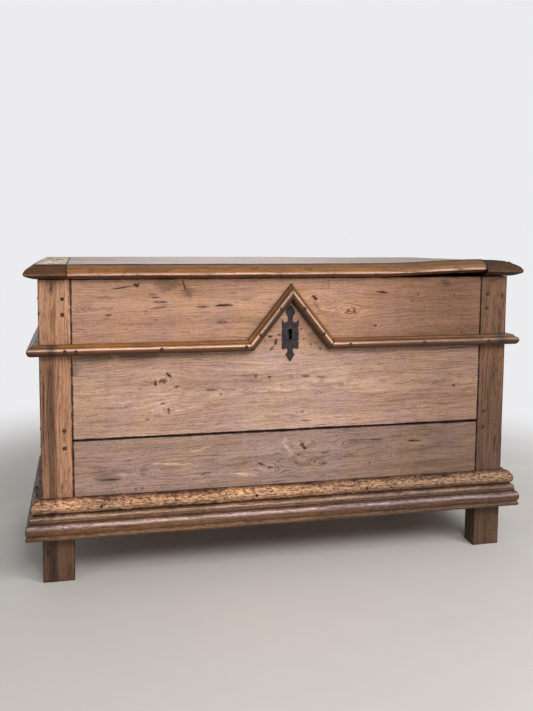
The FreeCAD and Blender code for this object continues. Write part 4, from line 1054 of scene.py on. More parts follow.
def moulding_tree(material):
    """A moulding: an outline drawn along a straight run with mitred ends and worn edges."""
    sketch, given = new_tree("moulding run", (
        ("Steps", "Int", 100), ("Start", "Float", 0.0), ("Start by reach", "Float", 0.0),
        ("Start by rise", "Float", 0.0), ("End", "Float", 1.0), ("End by reach", "Float", 0.0),
        ("End by rise", "Float", 0.0), ("Wear", "Float", 0.5 * MM),
        ("Chip depth", "Float", 3 * MM), ("Seed", "Float", 0.0)))
    outline = sketch.add("GeometryNodeMeshToCurve", {"Mesh": given["Geometry"]})
    outline = store(sketch, outline, "outline", sketch.add("GeometryNodeInputPosition"),
                    "FLOAT_VECTOR")
    path = sketch.add("GeometryNodeCurvePrimitiveLine", {"Start": (0, 0, 0), "End": (0, 0, 1)})
    path = sketch.add("GeometryNodeResampleCurve", {"Curve": path, "Count": given["Steps"]})
    path = store(sketch, path, "share", sketch.add("GeometryNodeSplineParameter"))
    body = sketch.add("GeometryNodeCurveToMesh", {
        "Curve": path, "Profile Curve": outline, "Fill Caps": True})
    reach, rise, _ = sketch.parts(recall(sketch, "outline", "FLOAT_VECTOR"))

    def end(title):
        slant = sketch.plus(sketch.times(reach, given[title + " by reach"]),
                            sketch.times(rise, given[title + " by rise"]))
        return sketch.plus(given[title], slant)
    start, stop = end("Start"), end("End")
    along = sketch.plus(start, sketch.times(recall(sketch, "share"), sketch.minus(stop, start)))
    nearest = sketch.math("MINIMUM", sketch.minus(along, start), sketch.minus(stop, along))
    body = store(sketch, body, "edge", sketch.step(nearest, 0.0, 8 * MM, 1.0, 0.0))
    body = sketch.add("GeometryNodeSetPosition", {
        "Geometry": body, "Position": sketch.joined(along, reach, rise)})
    field = sketch.joined(sketch.plus(along, sketch.times(given["Seed"], 2.3)),
                          sketch.plus(sketch.times(reach, 0.6), rise), reach)
    body = store(sketch, body, "grain", field, "FLOAT_VECTOR")
    normal = sketch.add("GeometryNodeInputNormal")
    slow = sketch.noise(sketch.product(field, (9.0, 60.0, 60.0)), 3.0, 0.6)
    swing = sketch.times(sketch.minus(slow, 0.5), sketch.times(given["Wear"], 2.0))
    swing = sketch.times(swing, sketch.step(reach, 0.5 * MM, 3 * MM))
    body = sketch.add("GeometryNodeSetPosition", {
        "Geometry": body, "Offset": sketch.scaled(normal, swing)})
    lumps = sketch.noise(sketch.product(field, (38.0, 90.0, 90.0)), 3.0, 0.65)
    chip = sketch.times(sketch.step(lumps, 0.55, 0.62), recall(sketch, "fragile"))
    depth = sketch.times(sketch.times(chip, given["Chip depth"]), -1.0)
    body = sketch.add("GeometryNodeSetPosition", {
        "Geometry": body, "Offset": sketch.scaled(normal, depth)})
    body = store(sketch, body, "mark", sketch.times(chip, 0.6))
    body = sketch.add("GeometryNodeSetShadeSmooth", {0: body})
    return end_tree(sketch, body, material)


def outline_mesh(name, steps, reach, height, fragile):
    """The closed outline of a moulding with its bands and its fragile parts."""
    points = outline_points(steps, reach, height, 1.6 * MM)[::-1]
    rear = max(2, math.ceil(height / (8 * MM)))
    closing = [points[-1] + (points[0] - points[-1]) * i / rear for i in range(1, rear)]
    points = np.vstack((points, closing))
    mesh = bpy.data.meshes.new(name)
    count = len(points)
    mesh.from_pydata([(x, y, 0) for x, y in points], [(i, (i + 1) % count) for i in range(count)],
                     [])
    band = points[:, 1] / height
    weak = [strength * hump(band, level, spread) * (points[:, 0] > 2 * MM)
            for level, spread, strength in fragile]
    keep_values(mesh, "band", band)
    keep_values(mesh, "fragile", np.max(weak, axis=0))
    return mesh


def moulding(node, tree, outline, run, wear, chips, seed, tone):
    """One moulding run: origin, directions along, out and up, and its two mitred ends."""
    origin, along, outward, upward, start, end = run
    values = {"Steps": max(12, round(abs(end[0] - start[0]) / (3.2 * MM))), "Wear": wear,
              "Chip depth": chips, "Seed": float(seed)}
    for title, cut in (("Start", start), ("End", end)):
        values[title], values[title + " by reach"], values[title + " by rise"] = cut
    piece = grown(node + "_worn", tree, outline.copy(), values)
    turn = Matrix([[along[i], outward[i], upward[i], origin[i]] for i in range(3)]
                  + [[0, 0, 0, 1]])
    piece.data.transform(turn)
    turned_outwards(piece.data)
    keep_values(piece.data, "tint", tone(mesh_points(piece.data)))
    piece.data.set_sharp_from_angle(angle=math.radians(58))
    return stands_for(piece, node)


def front_and_ends(bottom):
    """Runs of a moulding across the front and along the right and the left end."""
    inner = HALF - MITRE_GAP
    depth = BACK - FACE
    front = (Vector((0, FACE, bottom)), RIGHT, FORWARD, UP, (-inner, -1, 0), (inner, 1, 0))
    right = (Vector((HALF, FACE, bottom)), BACKWARD, RIGHT, UP, (0, -1, 0), (depth, 0, 0))
    left = (Vector((-HALF, FACE, bottom)), BACKWARD, LEFT, UP, (0, -1, 0), (depth, 0, 0))
    return front, right, left


def chevron_runs():
    """Runs of the two halves of the front rail and of the two arms of the chevron."""
    slope = math.atan2(CHEVRON_RISE, CHEVRON_HALF_SPAN)
    point_z = CHEVRON_RISE + RAIL_HEIGHT / math.cos(slope)
    widening = (point_z - RAIL_HEIGHT) / math.tan(slope) - CHEVRON_HALF_SPAN
    length = math.hypot(CHEVRON_RISE, CHEVRON_HALF_SPAN)
    gap = MITRE_GAP / 2
    base = Vector((0, FACE, RAIL_BOTTOM))
    runs = {}
    for side, name in ((-1, "left"), (1, "right")):
        across = RIGHT * side
        runs["rail_front_" + name] = (
            base, across, FORWARD, UP,
            (CHEVRON_CENTRE * side + CHEVRON_HALF_SPAN + gap, 0, widening / RAIL_HEIGHT),
            (HALF - MITRE_GAP, 1, 0))
        along = UP * math.sin(slope) - across * math.cos(slope)
        upward = UP * math.cos(slope) + across * math.sin(slope)
        foot = base + RIGHT * CHEVRON_CENTRE + across * CHEVRON_HALF_SPAN
        start_by_rise = (across * widening + UP * RAIL_HEIGHT).dot(along) / RAIL_HEIGHT
        runs["chevron_%s_arm" % name] = (
            foot, along, FORWARD, upward, (gap, 0, start_by_rise),
            (length - gap, 0, math.tan(slope)))
    return runs


class BuildRail(bpy.types.Operator):
    """Make the rail moulding round the chest and the chevron over the lock"""
    bl_idname = "chest.rail"
    bl_label = "Rail and chevron"

    def execute(self, context):
        sizes, finish = context.scene.chest_sizes, context.scene.chest_finish
        # Bands up the rail: the dark underside and the dark line at the quirk are painted shade,
        # and the pale band on the crest (0.565 to 0.62) is a painted highlight; the golden bands
        # are the waxed wood.
        bands = band_colours(
            (0.0, 40, 20, 6), (0.20, 60, 32, 10), (0.34, 88, 50, 20), (0.45, 118, 70, 30),
            (0.525, 148, 96, 58), (0.565, 236, 208, 202), (0.62, 228, 198, 188),
            (0.655, 176, 120, 72), (0.74, 164, 108, 58), (0.765, 96, 56, 22), (0.80, 138, 86, 38),
            (0.88, 150, 98, 50), (0.92, 116, 72, 34), (0.96, 150, 100, 56), (1.0, 104, 68, 40))
        tree = moulding_tree(oak("rail oak", finish.wax_tone, finish.wax_shade, bands=bands,
                                 gloss=0.9, grime=0.5, contrast=0.9))
        outline = outline_mesh("rail outline", RAIL_OUTLINE, RAIL_PROJECTION, RAIL_HEIGHT,
                               ((0.62, 0.12, 0.25),))
        runs = chevron_runs()
        runs["rail_right_side"], runs["rail_left_side"] = front_and_ends(RAIL_BOTTOM)[1:]

        def tone(points):
            x, y, z = points.T
            right = smooth_share(x, 0.06, 0.40)
            smudge = hump(x, -0.618, 0.012) + hump(x, 0.625, 0.02) \
                + 0.6 * (1 - smooth_share(x, -0.68, -0.60))
            level = (z - RAIL_BOTTOM) / RAIL_HEIGHT
            # crest dims the painted highlight band towards the right, and the runs along the ends
            # are darkened: painted shade.
            crest = right * hump(level, 0.59, 0.06)
            value = (1 - 0.44 * right) * (1 - 0.75 * smudge.clip(0, 1)) * (1 - 0.66 * crest) \
                * (1 - 0.45 * smooth_share(y, FACE + 0.01, FACE + 0.06))
            arm = smooth_share(level, 1.2, 1.8) * (y < FACE + 0.01)
            value *= 1 - (0.36 - 0.16 * smooth_share(x, 0.0, 0.02)) * arm
            return tinted(value * (1 - 0.08 * right) - 1, 0.2 + 0.9 * right)
        for seed, (node, run) in enumerate(runs.items()):
            moulding(node, tree, outline, run, sizes.moulding_wear, sizes.chip_depth * 0.4,
                     seed + 1, tone)
        return {"FINISHED"}


class BuildPlinth(bpy.types.Operator):
    """Make the worm-eaten plinth moulding round the foot of the walls"""
    bl_idname = "chest.plinth"
    bl_label = "Plinth"

    def execute(self, context):
        sizes, finish = context.scene.chest_sizes, context.scene.chest_finish
        # Bands up the plinth: the pale bands on the torus (about 0.34) and on the small bead (about
        # 0.55) are painted highlights, and the dark bands in the quirks (about 0.13, 0.43 and 0.64)
        # are painted shade; the rest is the worn colour of the plinth.
        bands = band_colours(
            (0.0, 84, 58, 40), (0.02, 98, 68, 46), (0.06, 128, 88, 58), (0.10, 122, 84, 54),
            (0.13, 92, 62, 40), (0.17, 126, 88, 58), (0.24, 124, 86, 58), (0.30, 136, 100, 80),
            (0.335, 214, 186, 184), (0.36, 210, 178, 172), (0.385, 156, 120, 104),
            (0.415, 92, 62, 44), (0.455, 88, 60, 42), (0.475, 150, 114, 94), (0.49, 118, 84, 64),
            (0.52, 178, 140, 120), (0.56, 198, 158, 136), (0.60, 128, 90, 66), (0.63, 48, 30, 18),
            (0.655, 60, 38, 24), (0.675, 168, 122, 92), (0.74, 200, 150, 112),
            (0.82, 224, 176, 140), (0.88, 216, 162, 120), (0.945, 206, 152, 112),
            (0.975, 170, 120, 88), (0.995, 66, 44, 32))
        tree = moulding_tree(oak("plinth oak", finish.plinth_tone, finish.post_shade, bands=bands,
                                 gloss=0.6, grime=0.75, contrast=1.35, worm=0.9, eroded=True))
        outline = outline_mesh("plinth outline", PLINTH_OUTLINE, PLINTH_PROJECTION,
                               PLINTH_HEIGHT, ((0.95, 0.045, 1.0), (0.68, 0.02, 0.6),
                                               (0.08, 0.05, 0.35)))

        def tone(points):
            x, y, _ = points.T
            right = smooth_share(x, -0.1, 0.4)
            # The runs along the ends are darkened: painted shade.
            value = (1.06 - 0.42 * right) * (1 - 0.42 * (1 - smooth_share(x, -0.665, -0.60))) \
                * (1 - 0.50 * smooth_share(y, FACE - 0.01, FACE + 0.03))
            front = stroke_share(points, MARKS["plinth_front"], 1.7, True) * (y < FACE)
            return tinted(value * (1 - 0.85 * front) - 1, -0.3 * right)
        nodes = ("plinth_front", "plinth_right_side", "plinth_left_side")
        for seed, (node, run) in enumerate(zip(nodes, front_and_ends(PLINTH_BOTTOM))):
            mesh = moulding(node, tree, outline, run, sizes.moulding_wear * 1.6,
                            sizes.chip_depth, seed + 11, tone).data
            band = np.empty(len(mesh.vertices), dtype=np.float32)
            mesh.attributes["band"].data.foreach_get("value", band)
            keep_values(mesh, "worm", 0.25 + 0.75 * smooth_share(band, 0.62, 0.68))
        return {"FINISHED"}


LID_CURVE = outline_points(LID_OUTLINE, 1.0, 1.0, 0.01)


def strap_half_width(y):
    """Half the width of the recess for a hinge strap, without the disc at its tip."""
    return np.interp(y, (STRAP_TIP, STRAP_ROOT), STRAP_HALF_WIDTHS)


def iron_recesses():
    """Boxes under the lid for the tapered straps with their discs, the knuckles and the hasp."""
    boxes = []

    def recess(x0, x1, y0, y1):
        boxes.append((np.array((x0, y0, LID_BOTTOM - MM)),
                      np.array((x1, y1, LID_BOTTOM + STRAP_DEPTH))))
    for x in (-STRAP_PLACE, STRAP_PLACE):
        stops = np.linspace(STRAP_TIP, STRAP_ROOT, 8)
        for y0, y1 in zip(stops, stops[1:]):
            half = strap_half_width((y0 + y1) / 2)
            recess(x - half, x + half, y0, y1)
        turns = np.radians(np.arange(0, 91, 11.25))
        for start, end in zip(turns, turns[1:]):
            half = STRAP_DISC * math.sin((start + end) / 2)
            y0, y1 = (STRAP_DISC * math.cos(turn) for turn in (end, start))
            recess(x - half, x + half, STRAP_TIP - y1, STRAP_TIP - y0)
            recess(x - half, x + half, STRAP_TIP + y0, STRAP_TIP + y1)
        recess(x - KNUCKLES_HALF, x + KNUCKLES_HALF, STRAP_ROOT, LID_REAR + 5 * MM)
    low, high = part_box("lid_hasp")
    play = 0.2 * MM
    recess(low.x - play, high.x + play, low.y - play, high.y + play)
    return boxes


def trimmed_recesses(points):
    """Straightens the stepped sides of the strap recesses into a taper and a disc."""
    beside = np.abs(points[:, X]) - STRAP_PLACE
    side = np.sign(points[:, X])
    low = points[:, Z] < LID_BOTTOM + STRAP_DEPTH + 0.1 * MM
    inwards = points[:, Y] - STRAP_TIP
    away = np.hypot(beside, inwards)
    half = strap_half_width(points[:, Y])
    disc = low & (np.abs(away - STRAP_DISC) < 1.6 * MM) & ((inwards < 0) | (np.abs(beside) > half))
    scale = np.where(disc, STRAP_DISC / np.maximum(away, MM), 1.0)
    taper = low & ~disc & (points[:, Y] < STRAP_ROOT - MM) & (inwards > 0) \
        & (away > STRAP_DISC) & (np.abs(np.abs(beside) - half) < 0.8 * MM)
    moved = points.copy()
    moved[:, X] = side * (STRAP_PLACE + np.where(taper, np.sign(beside) * half, beside * scale))
    moved[:, Y] = np.where(disc, STRAP_TIP + inwards * scale, points[:, Y])
    return moved


def top_drop(sizes, x, y):
    """How far the worn top of the lid lies under the flat one."""
    return sizes.lid_sag * smooth_share(y, -0.1, 0.33) * (1 + 0.6 * smooth_share(x, -0.1, 0.4))


def corner_share(y):
    """1 at the front of the lid, falling to 0 where its warp ends."""
    return 1 - smooth_share(y, FACE - 0.03, FACE + 0.26)


def front_lift(sizes, x, y):
    """How far the warped front corner of the lid stands up."""
    return sizes.lid_lift * corner_share(y) * smooth_share(x, 0.18, 0.60) ** 1.3


def lid_shape(sizes, node):
    """Moulds the front edge, and for a cleat the outer edge, of a block of the lid."""
    margin = 14 * MM
    cleat = node.endswith("cleat")

    def shape(points):
        points = points if cleat else trimmed_recesses(points)
        moved = points.copy()
        x, y, z = points.T
        rise = np.clip((z - LID_BOTTOM) / LID_THICKNESS, 0.0, 1.0)
        reach = LID_OVERHANG * np.interp(rise, LID_CURVE[:, 1], LID_CURVE[:, 0])
        base = FACE + margin
        part = np.clip((base - y) / (margin + LID_OVERHANG), 0, None)
        moved[:, Y] = np.where(y < base, base - part * (margin + reach), y)
        if cleat:
            base = HALF - margin
            part = np.clip((np.abs(x) - base) / (margin + LID_OVERHANG), 0, None)
            moved[:, X] = np.where(np.abs(x) > base,
                                   np.sign(x) * (base + part * (margin + reach)), x)
        moved[:, Z] -= rise * top_drop(sizes, x, y)
        if node in ("lid_front_board", "lid_right_cleat"):
            skew = smooth_share(x, 0.50, 0.57) - smooth_share(x, 0.60, 0.64)
            moved[:, X] -= sizes.joint_skew * skew * corner_share(y)
        if node == "lid_front_board":
            moved[:, Z] += front_lift(sizes, x, y)
        if node == "lid_right_cleat":
            outer = 1 - 0.6 * smooth_share(x, 0.60, 0.67)
            moved[:, Z] += front_lift(sizes, x, y) * outer * (0.2 + 0.6 * rise)
        return moved
    return shape


class BuildLid(bpy.types.Operator):
    """Make the two lid boards, the front one warped, and the two end cleats"""
    bl_idname = "chest.lid"
    bl_label = "Lid"

    def execute(self, context):
        sizes, finish = context.scene.chest_sizes, context.scene.chest_finish
        gold, brown = finish.wax_tone, finish.wax_shade
        # Bands up the lid's moulded edge: the dark underside is painted shade and the pale band at
        # the nose (0.29 to 0.38) is a painted highlight; the rest is the waxed wood with its dark
        # lines. The cleats take a darker copy with the same painted light.
        bands = band_colours(
            (0.0, 40, 22, 8), (0.06, 70, 40, 14), (0.11, 108, 68, 34), (0.16, 92, 54, 20),
            (0.20, 62, 30, 4), (0.24, 96, 56, 26), (0.29, 206, 168, 150), (0.34, 240, 208, 198),
            (0.38, 196, 150, 124), (0.42, 142, 92, 42), (0.52, 130, 80, 18), (0.57, 116, 68, 10),
            (0.63, 158, 102, 22), (0.67, 134, 84, 22), (0.70, 84, 50, 12), (0.74, 126, 84, 34),
            (0.78, 84, 52, 16), (0.82, 126, 84, 32), (0.86, 88, 54, 18), (0.91, 120, 80, 38),
            (0.96, 76, 48, 24), (1.0, 110, 86, 68))
        end_bands = [(level, tuple(0.09 * wax + 0.24 * value for wax, value in zip(gold, colour)))
                     for level, colour in bands]
        boards = oak("lid oak", gold, brown, bands=bands, gloss=0.75, grime=0.45, contrast=1.2,
                     worm=0.8, pale_top=finish.lid_tone, raw=finish.raw_tone)
        cleats = oak("lid cleat oak", seen(120, 84, 52), brown, bands=end_bands, gloss=0.3,
                     grime=0.5, contrast=1.4, worm=0.95, pale_top=seen(255, 248, 242),
                     raw=finish.raw_tone, eroded=True)

        def levels(points):
            rise = (points[:, Z] - LID_BOTTOM) / LID_THICKNESS
            return {"band": rise.clip(0, 1), "top": smooth_share(rise, 0.985, 0.999),
                    "inner": (rise < 0.01).astype(float), "worm": np.full(len(points), 0.3)}

        def eaten(points):
            found = levels(points)
            found["worm"] = 0.35 + 0.5 * found["top"] * (points[:, X] < 0)
            found["mark"] = found["top"] * stroke_share(points[:, (X, Z, Y)], WORM_TRACKS, 1.6)
            return found

        def tone(points):
            x, y, z = points.T
            stain = hump(np.abs(x), STRAP_PLACE, 0.026) * (y > STRAP_TIP - 0.03) \
                * (z < LID_BOTTOM + 4 * MM)
            frayed = CLEAT_JOINT + 1.2 * MM * ripple(points, 0.012, 9)
            crack = hump(x, frayed, 4 * MM) * (y < FACE + 0.05)
            cleat = np.abs(x) > CLEAT_JOINT
            value = 1 - 0.22 * smooth_share(x, 0.0, 0.5) + cleat * np.where(x < 0, 0.13, -0.10)
            value = value * (1 - 0.4 * stain) * (1 - 0.9 * crack)
            return tinted(value - 1, 0.5 + 0.4 * cleat)
        for seed, part in enumerate(("front_board", "back_board", "left_cleat", "right_cleat")):
            node = "lid_" + part
            cleat = part.endswith("cleat")
            low, high = corners(node)
            low[Z], high[Z] = LID_BOTTOM, LID_TOP
            if low[Y] < FACE:
                low[Y] = FACE - LID_OVERHANG
            if part == "front_board":
                high[Y] -= LID_TONGUE
            if cleat:
                order, pitches, cuts = (Y, X, Z), (3.5 * MM, 5 * MM, 1.7 * MM), ()
            else:
                low[X], high[X] = -CLEAT_JOINT, CLEAT_JOINT
                order, pitches, cuts = (X, Y, Z), (6 * MM, 5 * MM, 1.7 * MM), iron_recesses()
            worn_board(node, sizes, cleats if cleat else boards, order, (low, high), (), cuts,
                       pitches, ((low[order[1]] + high[order[1]]) / 2, LID_BOTTOM - 0.05),
                       61 + 5 * seed, LID_TOP, shape=lid_shape(sizes, node), tone=tone,
                       extra=eaten if cleat else levels)
        return {"FINISHED"}


class DressFloor(bpy.types.Operator):
    """Give the floor boards and their ledgers unfinished oak"""
    bl_idname = "chest.floor"
    bl_label = "Floor boards"

    def execute(self, context):
        finish = context.scene.chest_finish
        across = oak("floor oak", finish.raw_tone, finish.post_shade, axis=Y, grime=0.5)
        length = oak("ledger oak", finish.raw_tone, finish.post_shade, axis=X, grime=0.5)
        for node, piece in frame["nodes"].items():
            if node.startswith("floor_board") or node.endswith("_ledger"):
                dress(piece, length if node.endswith("_ledger") else across)
        return {"FINISHED"}


def dress(piece, material):
    """Puts one material on every face of a solid that stays as it is."""
    piece.data.materials.clear()
    piece.data.materials.append(material)


def hardware_places(node):
    """Where each nail or peg of a node has its head: middle, direction inwards and length."""
    copy = merged_copy(node)
    places = []
    waiting = set(copy.verts)
    while waiting:
        seed = waiting.pop()
        island, edge = [seed], [seed]
        while edge:
            for link in edge.pop().link_edges:
                for vert in waiting.intersection(link.verts):
                    waiting.discard(vert)
                    island.append(vert)
                    edge.append(vert)
        points = np.array([vert.co for vert in island])
        lowest, highest = points.min(axis=0), points.max(axis=0)
        spread, middle = highest - lowest, (lowest + highest) / 2
        axis = int(np.argmax(spread))
        if node.endswith("pegs"):
            head_high = axis == Z or abs(middle[axis] + 0.2 * spread[axis]) > abs(middle[axis])
        else:
            cross = np.linalg.norm(np.delete(points - middle, axis, axis=1), axis=1)
            share = (points[:, axis] - lowest[axis]) / spread[axis]
            head_high = cross[share > 0.8].max() >= cross[share < 0.2].max() - 0.05 * MM
        inward, head = np.zeros(3), middle.copy()
        inward[axis] = -1.0 if head_high else 1.0
        head[axis] = highest[axis] if head_high else lowest[axis]
        places.append((head, inward, spread[axis]))
    copy.free()
    places.sort(key=lambda item: tuple(np.round(item[0], 4)))
    return places


def fastener_tree(material):
    """Forged nails or pegs: a rounded hammered head on a straight shank at every point."""
    sketch, given = new_tree("driven fasteners", (
        ("Head radius", "Float", 4 * MM), ("Head rise", "Float", 2 * MM),
        ("Shank radius", "Float", 2 * MM), ("Shank sides", "Int", 4),
        ("Length", "Float", 40 * MM), ("Hammering", "Float", 0.5 * MM), ("Seed", "Int", 1)))
    head = sketch.add("GeometryNodeMeshIcoSphere", {"Radius": 1.0, "Subdivisions": 3})
    size = sketch.joined(given["Head radius"], given["Head radius"], given["Head rise"])
    head = sketch.add("GeometryNodeTransform", {"Geometry": head, "Scale": size})
    shank = sketch.add("GeometryNodeMeshCylinder", {
        "Vertices": given["Shank sides"], "Radius": given["Shank radius"],
        "Depth": given["Length"]})
    shank = sketch.add("GeometryNodeTransform", {
        "Geometry": shank,
        "Translation": sketch.joined(0.0, 0.0, sketch.times(given["Length"], -0.5))})
    join = sketch.tree.nodes.new("GeometryNodeJoinGeometry")
    sketch.feed(join.inputs[0], head)
    sketch.feed(join.inputs[0], shank)
    points = sketch.add("GeometryNodeMeshToPoints", {"Mesh": given["Geometry"]})
    aim = sketch.add("FunctionNodeAlignRotationToVector", {
        "Vector": recall(sketch, "outward", "FLOAT_VECTOR")}, axis="Z")

    def chance(low, high, seed):
        return sketch.add("FunctionNodeRandomValue", {"Min": low, "Max": high, "Seed": seed},
                          data_type="FLOAT_VECTOR")
    spin = chance((0, 0, 0), (0.12, 0.12, 6.28), given["Seed"])
    turn = sketch.add("FunctionNodeRotateRotation", {
        "Rotation": aim, "Rotate By": sketch.add("FunctionNodeEulerToRotation", {0: spin})},
        rotation_space="LOCAL")
    grow = chance((0.86, 0.86, 0.9), (1.12, 1.12, 1.0), sketch.plus(given["Seed"], 5.0))
    spread = sketch.add("GeometryNodeInstanceOnPoints", {
        "Points": points, "Instance": join.outputs[0], "Rotation": turn, "Scale": grow})
    plain = sketch.add("GeometryNodeRealizeInstances", {"Geometry": spread})
    dents = sketch.add("ShaderNodeTexNoise", {
        "Vector": sketch.add("GeometryNodeInputPosition"), "Scale": 420.0, "Detail": 1.0},
        output=1)
    centred = sketch.vector("SUBTRACT", dents, (0.5, 0.5, 0.5))
    plain = sketch.add("GeometryNodeSetPosition", {
        "Geometry": plain, "Offset": sketch.scaled(centred, given["Hammering"])})
    return end_tree(sketch, plain, material)


def point_mesh(name, places, sink):
    """Points on the surface where each fastener goes in, with the way out of the wood."""
    mesh = bpy.data.meshes.new(name)
    mesh.from_pydata([tuple(head + inward * sink) for head, inward, _ in places], [], [])
    keep_values(mesh, "outward", np.array([-inward for _, inward, _ in places]))
    return mesh


class BuildFasteners(bpy.types.Operator):
    """Set every forged nail and every peg of the chest"""
    bl_idname = "chest.fasteners"
    bl_label = "Nails and pegs"

    def execute(self, context):
        sizes, finish = context.scene.chest_sizes, context.scene.chest_finish
        nails = fastener_tree(wrought_iron("nail iron", seen(62, 48, 44), finish.rust_tone, 0.7))
        pegs = fastener_tree(oak("peg oak", seen(66, 46, 36), seen(26, 18, 14), axis=Y,
                                 gloss=0.5))

        def set_all(node, tree, ending, places, sink, rise, values):
            piece = grown(node + ending, tree, point_mesh(node, places, sink),
                          {"Head rise": rise, "Length": places[0][2] - rise, **values})
            stands_for(piece, node)
        nail_scales = {"hasp_nails": 0.75, "lock_nails": 0.75, "escutcheon_nails": 0.6}
        for seed, node in enumerate((
                "rail_nails", "plinth_nails", "floor_nails", "hinge_strap_nails",
                "hinge_leaf_nails", "hasp_nails", "lock_nails", "escutcheon_nails")):
            scale = nail_scales.get(node, 1.0)
            rise = 2.4 * MM * scale
            proud = 1.2 * MM if node in ("rail_nails", "plinth_nails") else 0.0
            set_all(node, nails, "_forged", hardware_places(node), rise - proud, rise, {
                "Head radius": sizes.nail_head_radius * scale, "Shank radius": 2.0 * MM * scale,
                "Shank sides": 4, "Hammering": 1.1 * MM * scale, "Seed": seed + 3})
        lid_places = hardware_places("lid_pegs")
        for head, _, _ in lid_places:
            x, y = head[X], head[Y]
            head[Z] += 0.7 * front_lift(sizes, x, y) - top_drop(sizes, x, y)
        rows = (("stile_pegs", hardware_places("stile_pegs"), 3.0 * MM, 3.0 * MM, 5.0 * MM, 21),
                ("lid_pegs", lid_places, 0.0, 0.35 * MM, 4.0 * MM, 22))
        for node, places, sink, rise, radius, seed in rows:
            set_all(node, pegs, "_riven", places, sink, rise, {
                "Head radius": sizes.peg_head_radius * radius / (5 * MM), "Shank radius": radius,
                "Shank sides": 8, "Hammering": 0.8 * MM, "Seed": seed})
        return {"FINISHED"}


def softened_copy(node, material, voxel, dent, seed):
    """A solid remade with soft edges, hammered faces and a wavy outline."""
    piece = placed(node + "_forged", bpy.data.meshes.new(node + "_forged"))
    merged = merged_copy(node)
    merged.to_mesh(piece.data)
    merged.free()
    modifier = piece.modifiers.new("skin", "REMESH")
    modifier.mode = "VOXEL"
    modifier.voxel_size = voxel
    mesh = settled(piece, modifier)
    points = mesh_points(mesh)
    beside = (points[:, X] - CHEVRON_CENTRE) / (5 * MM)
    level = (points[:, Z] - PLATE_MIDDLE) / MM
    wider = 3.4 * np.exp(-(level - 7) ** 2 / 22) + 1.8 * np.exp(-(level + 10) ** 2 / 30) \
        + 0.5 * (np.abs(level) < 15)
    points[:, X] += np.tanh(beside * 4) * np.exp(-beside ** 2) * wider * MM
    for axis in (X, Y, Z):
        points[:, axis] += dent * ripple(points, 0.02, seed + axis)
    mesh.vertices.foreach_set("co", points.ravel())
    dress(piece, material)
    mesh.shade_smooth()
    return stands_for(piece, node)


class BuildIronwork(bpy.types.Operator):
    """Make the keyhole plate and finish the lock and the hinges"""
    bl_idname = "chest.ironwork"
    bl_label = "Ironwork"

    def execute(self, context):
        finish = context.scene.chest_finish
        ring = (CHEVRON_CENTRE, 0.0, PLATE_MIDDLE), 11.5 * MM
        plate = wrought_iron("keyhole plate iron", finish.iron_tone, finish.rust_tone, 0.25, ring)
        plain = wrought_iron("lock and hinge iron", finish.iron_tone, finish.rust_tone, 0.5)
        softened_copy("escutcheon", plate, 0.7 * MM, 0.22 * MM, 81)
        for node, piece in frame["nodes"].items():
            if node.startswith(("lock_", "hinge_", "lid_hasp")) and "nails" not in node:
                dress(piece, plain)
        return {"FINISHED"}


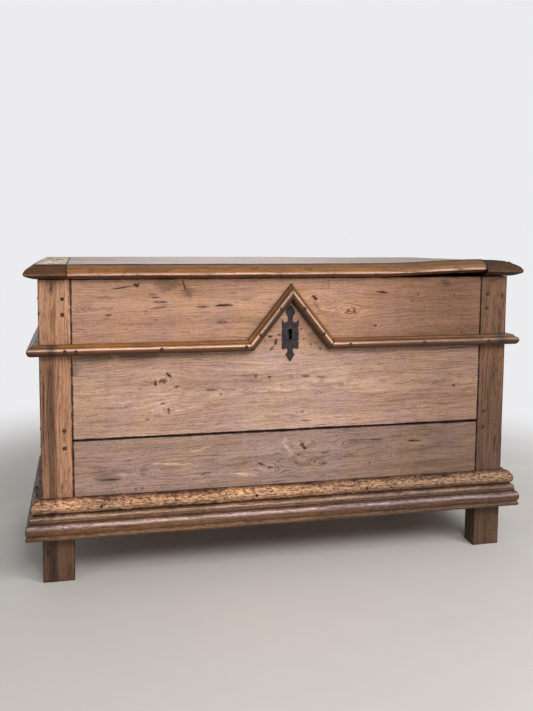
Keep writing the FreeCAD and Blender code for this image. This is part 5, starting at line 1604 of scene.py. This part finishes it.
class BuildStage(bpy.types.Operator):
    """Set the pale floor, the lamps, the surround and the camera"""
    bl_idname = "chest.stage"
    bl_label = "Stage"

    def execute(self, context):
        scene = context.scene
        stage = scene.chest_stage
        pale_tone = rgba(seen(236, 236, 238))
        finish = Finish("pale floor")
        cloud = finish.noise(finish.place(), 4.0, 0.6, 1.8)
        tone = finish.blend(finish.step(cloud, 0.3, 0.7, 0.0, 0.35), rgba(stage.floor_tone),
                            rgba([0.86 * value for value in stage.floor_tone]))
        material = finish.close(tone, finish.step(cloud, 0.3, 0.7, 0.55, 0.75), cloud, 0.1)
        pale = finish.add("ShaderNodeEmission", {"Color": pale_tone})
        direct = finish.tree.nodes.new("ShaderNodeLightPath").outputs["Is Camera Ray"]
        share = finish.times(finish.step(finish.length(finish.place()), 1.0, 2.1), direct)
        end = finish.tree.nodes["Material Output"].inputs["Surface"]
        near = end.links[0].from_socket
        finish.feed(end, finish.add("ShaderNodeMixShader", {0: share, 1: near, 2: pale}))
        circle = [(9 * math.cos(math.radians(a)), 9 * math.sin(math.radians(a)), 0.0)
                  for a in range(0, 360, 5)]
        mesh = bpy.data.meshes.new("stage_floor")
        mesh.from_pydata(circle, [], [tuple(range(len(circle)))])
        mesh.materials.append(material)
        placed("stage_floor", mesh)

        world = bpy.data.worlds.new("surround")
        world.use_nodes = True
        scene.world = world
        sky = Sketch(world.node_tree)
        world.node_tree.nodes.clear()
        rays = sky.tree.nodes.new("ShaderNodeLightPath").outputs
        seen_directly = sky.larger(rays["Is Camera Ray"], sky.larger(
            rays["Is Glossy Ray"], rays["Is Transmission Ray"]))
        strength = sky.step(seen_directly, 0.0, 1.0, stage.surround, 1.0)
        light = sky.add("ShaderNodeBackground", {"Color": pale_tone, "Strength": strength})
        sky.add("ShaderNodeOutputWorld", {"Surface": light})

        lamps = (("key lamp", (1.9, -2.5, 2.6), 1.8, stage.key_power),
                 ("window lamp", (-0.15, -3.3, 2.5), 1.3, stage.window_power),
                 ("fill lamp", (-2.8, -1.8, 1.9), 2.4, stage.fill_power),
                 ("back lamp", (0.4, 2.8, 2.6), 2.0, stage.fill_power * 1.6))
        for name, place, size, power in lamps:
            lamp = bpy.data.lights.new(name, "AREA")
            lamp.shape = "DISK"
            lamp.size = size
            lamp.energy = power
            holder = placed(name, lamp)
            holder.location = place
            aim = Vector((0, 0, 0.4)) - Vector(place)
            holder.rotation_euler = aim.to_track_quat("-Z", "Y").to_euler()

        camera = bpy.data.cameras.new("camera")
        camera.sensor_width = 36.0
        camera.lens = stage.focal_length
        camera.shift_x, camera.shift_y = 0.8 / IMAGE_HEIGHT, -48 / IMAGE_HEIGHT
        holder = placed("camera", camera)
        forward = Vector((0.2220, 0.9702, -0.0976)).normalized()
        right = Vector((0.9748, -0.2231, 0.0069))
        right = (right - forward * right.dot(forward)).normalized()
        axes = Matrix((right, right.cross(forward), -forward)).transposed().to_4x4()
        holder.matrix_world = Matrix.Translation((-0.5358, -2.0749 + FACE, 0.9218)) @ axes
        scene.camera = holder
        scene.view_settings.view_transform = "Standard"
        return {"FINISHED"}


class ChestPanel(bpy.types.Panel):
    """Lists the steps that build the chest"""
    bl_idname = "CHEST_PT_steps"
    bl_label = "Joined oak chest"
    bl_space_type = "VIEW_3D"
    bl_region_type = "UI"
    bl_category = "Chest"

    def draw(self, context):
        for group in (context.scene.chest_sizes, context.scene.chest_finish,
                      context.scene.chest_stage):
            for name in group.__annotations__:
                self.layout.prop(group, name)
        for step in STEPS:
            self.layout.operator(step.bl_idname)


STEPS = (BuildStage, BuildPosts, BuildFrontBoards, BuildWalls, BuildRail, BuildPlinth, BuildLid,
         DressFloor, BuildFasteners, BuildIronwork)
GROUPS = {"chest_sizes": ChestSizes, "chest_finish": ChestFinish, "chest_stage": ChestStage}


def register():
    for group in GROUPS.values():
        bpy.utils.register_class(group)
    for name, group in GROUPS.items():
        setattr(bpy.types.Scene, name, bpy.props.PointerProperty(type=group))
    for step in (*STEPS, ChestPanel):
        bpy.utils.register_class(step)


def unregister():
    for step in (*STEPS, ChestPanel):
        bpy.utils.unregister_class(step)
    for name, group in GROUPS.items():
        delattr(bpy.types.Scene, name)
        bpy.utils.unregister_class(group)


def main():
    register()
    for step in STEPS:
        getattr(bpy.ops.chest, step.bl_idname.split(".")[1])()


if __name__ == "__main__":
    main()
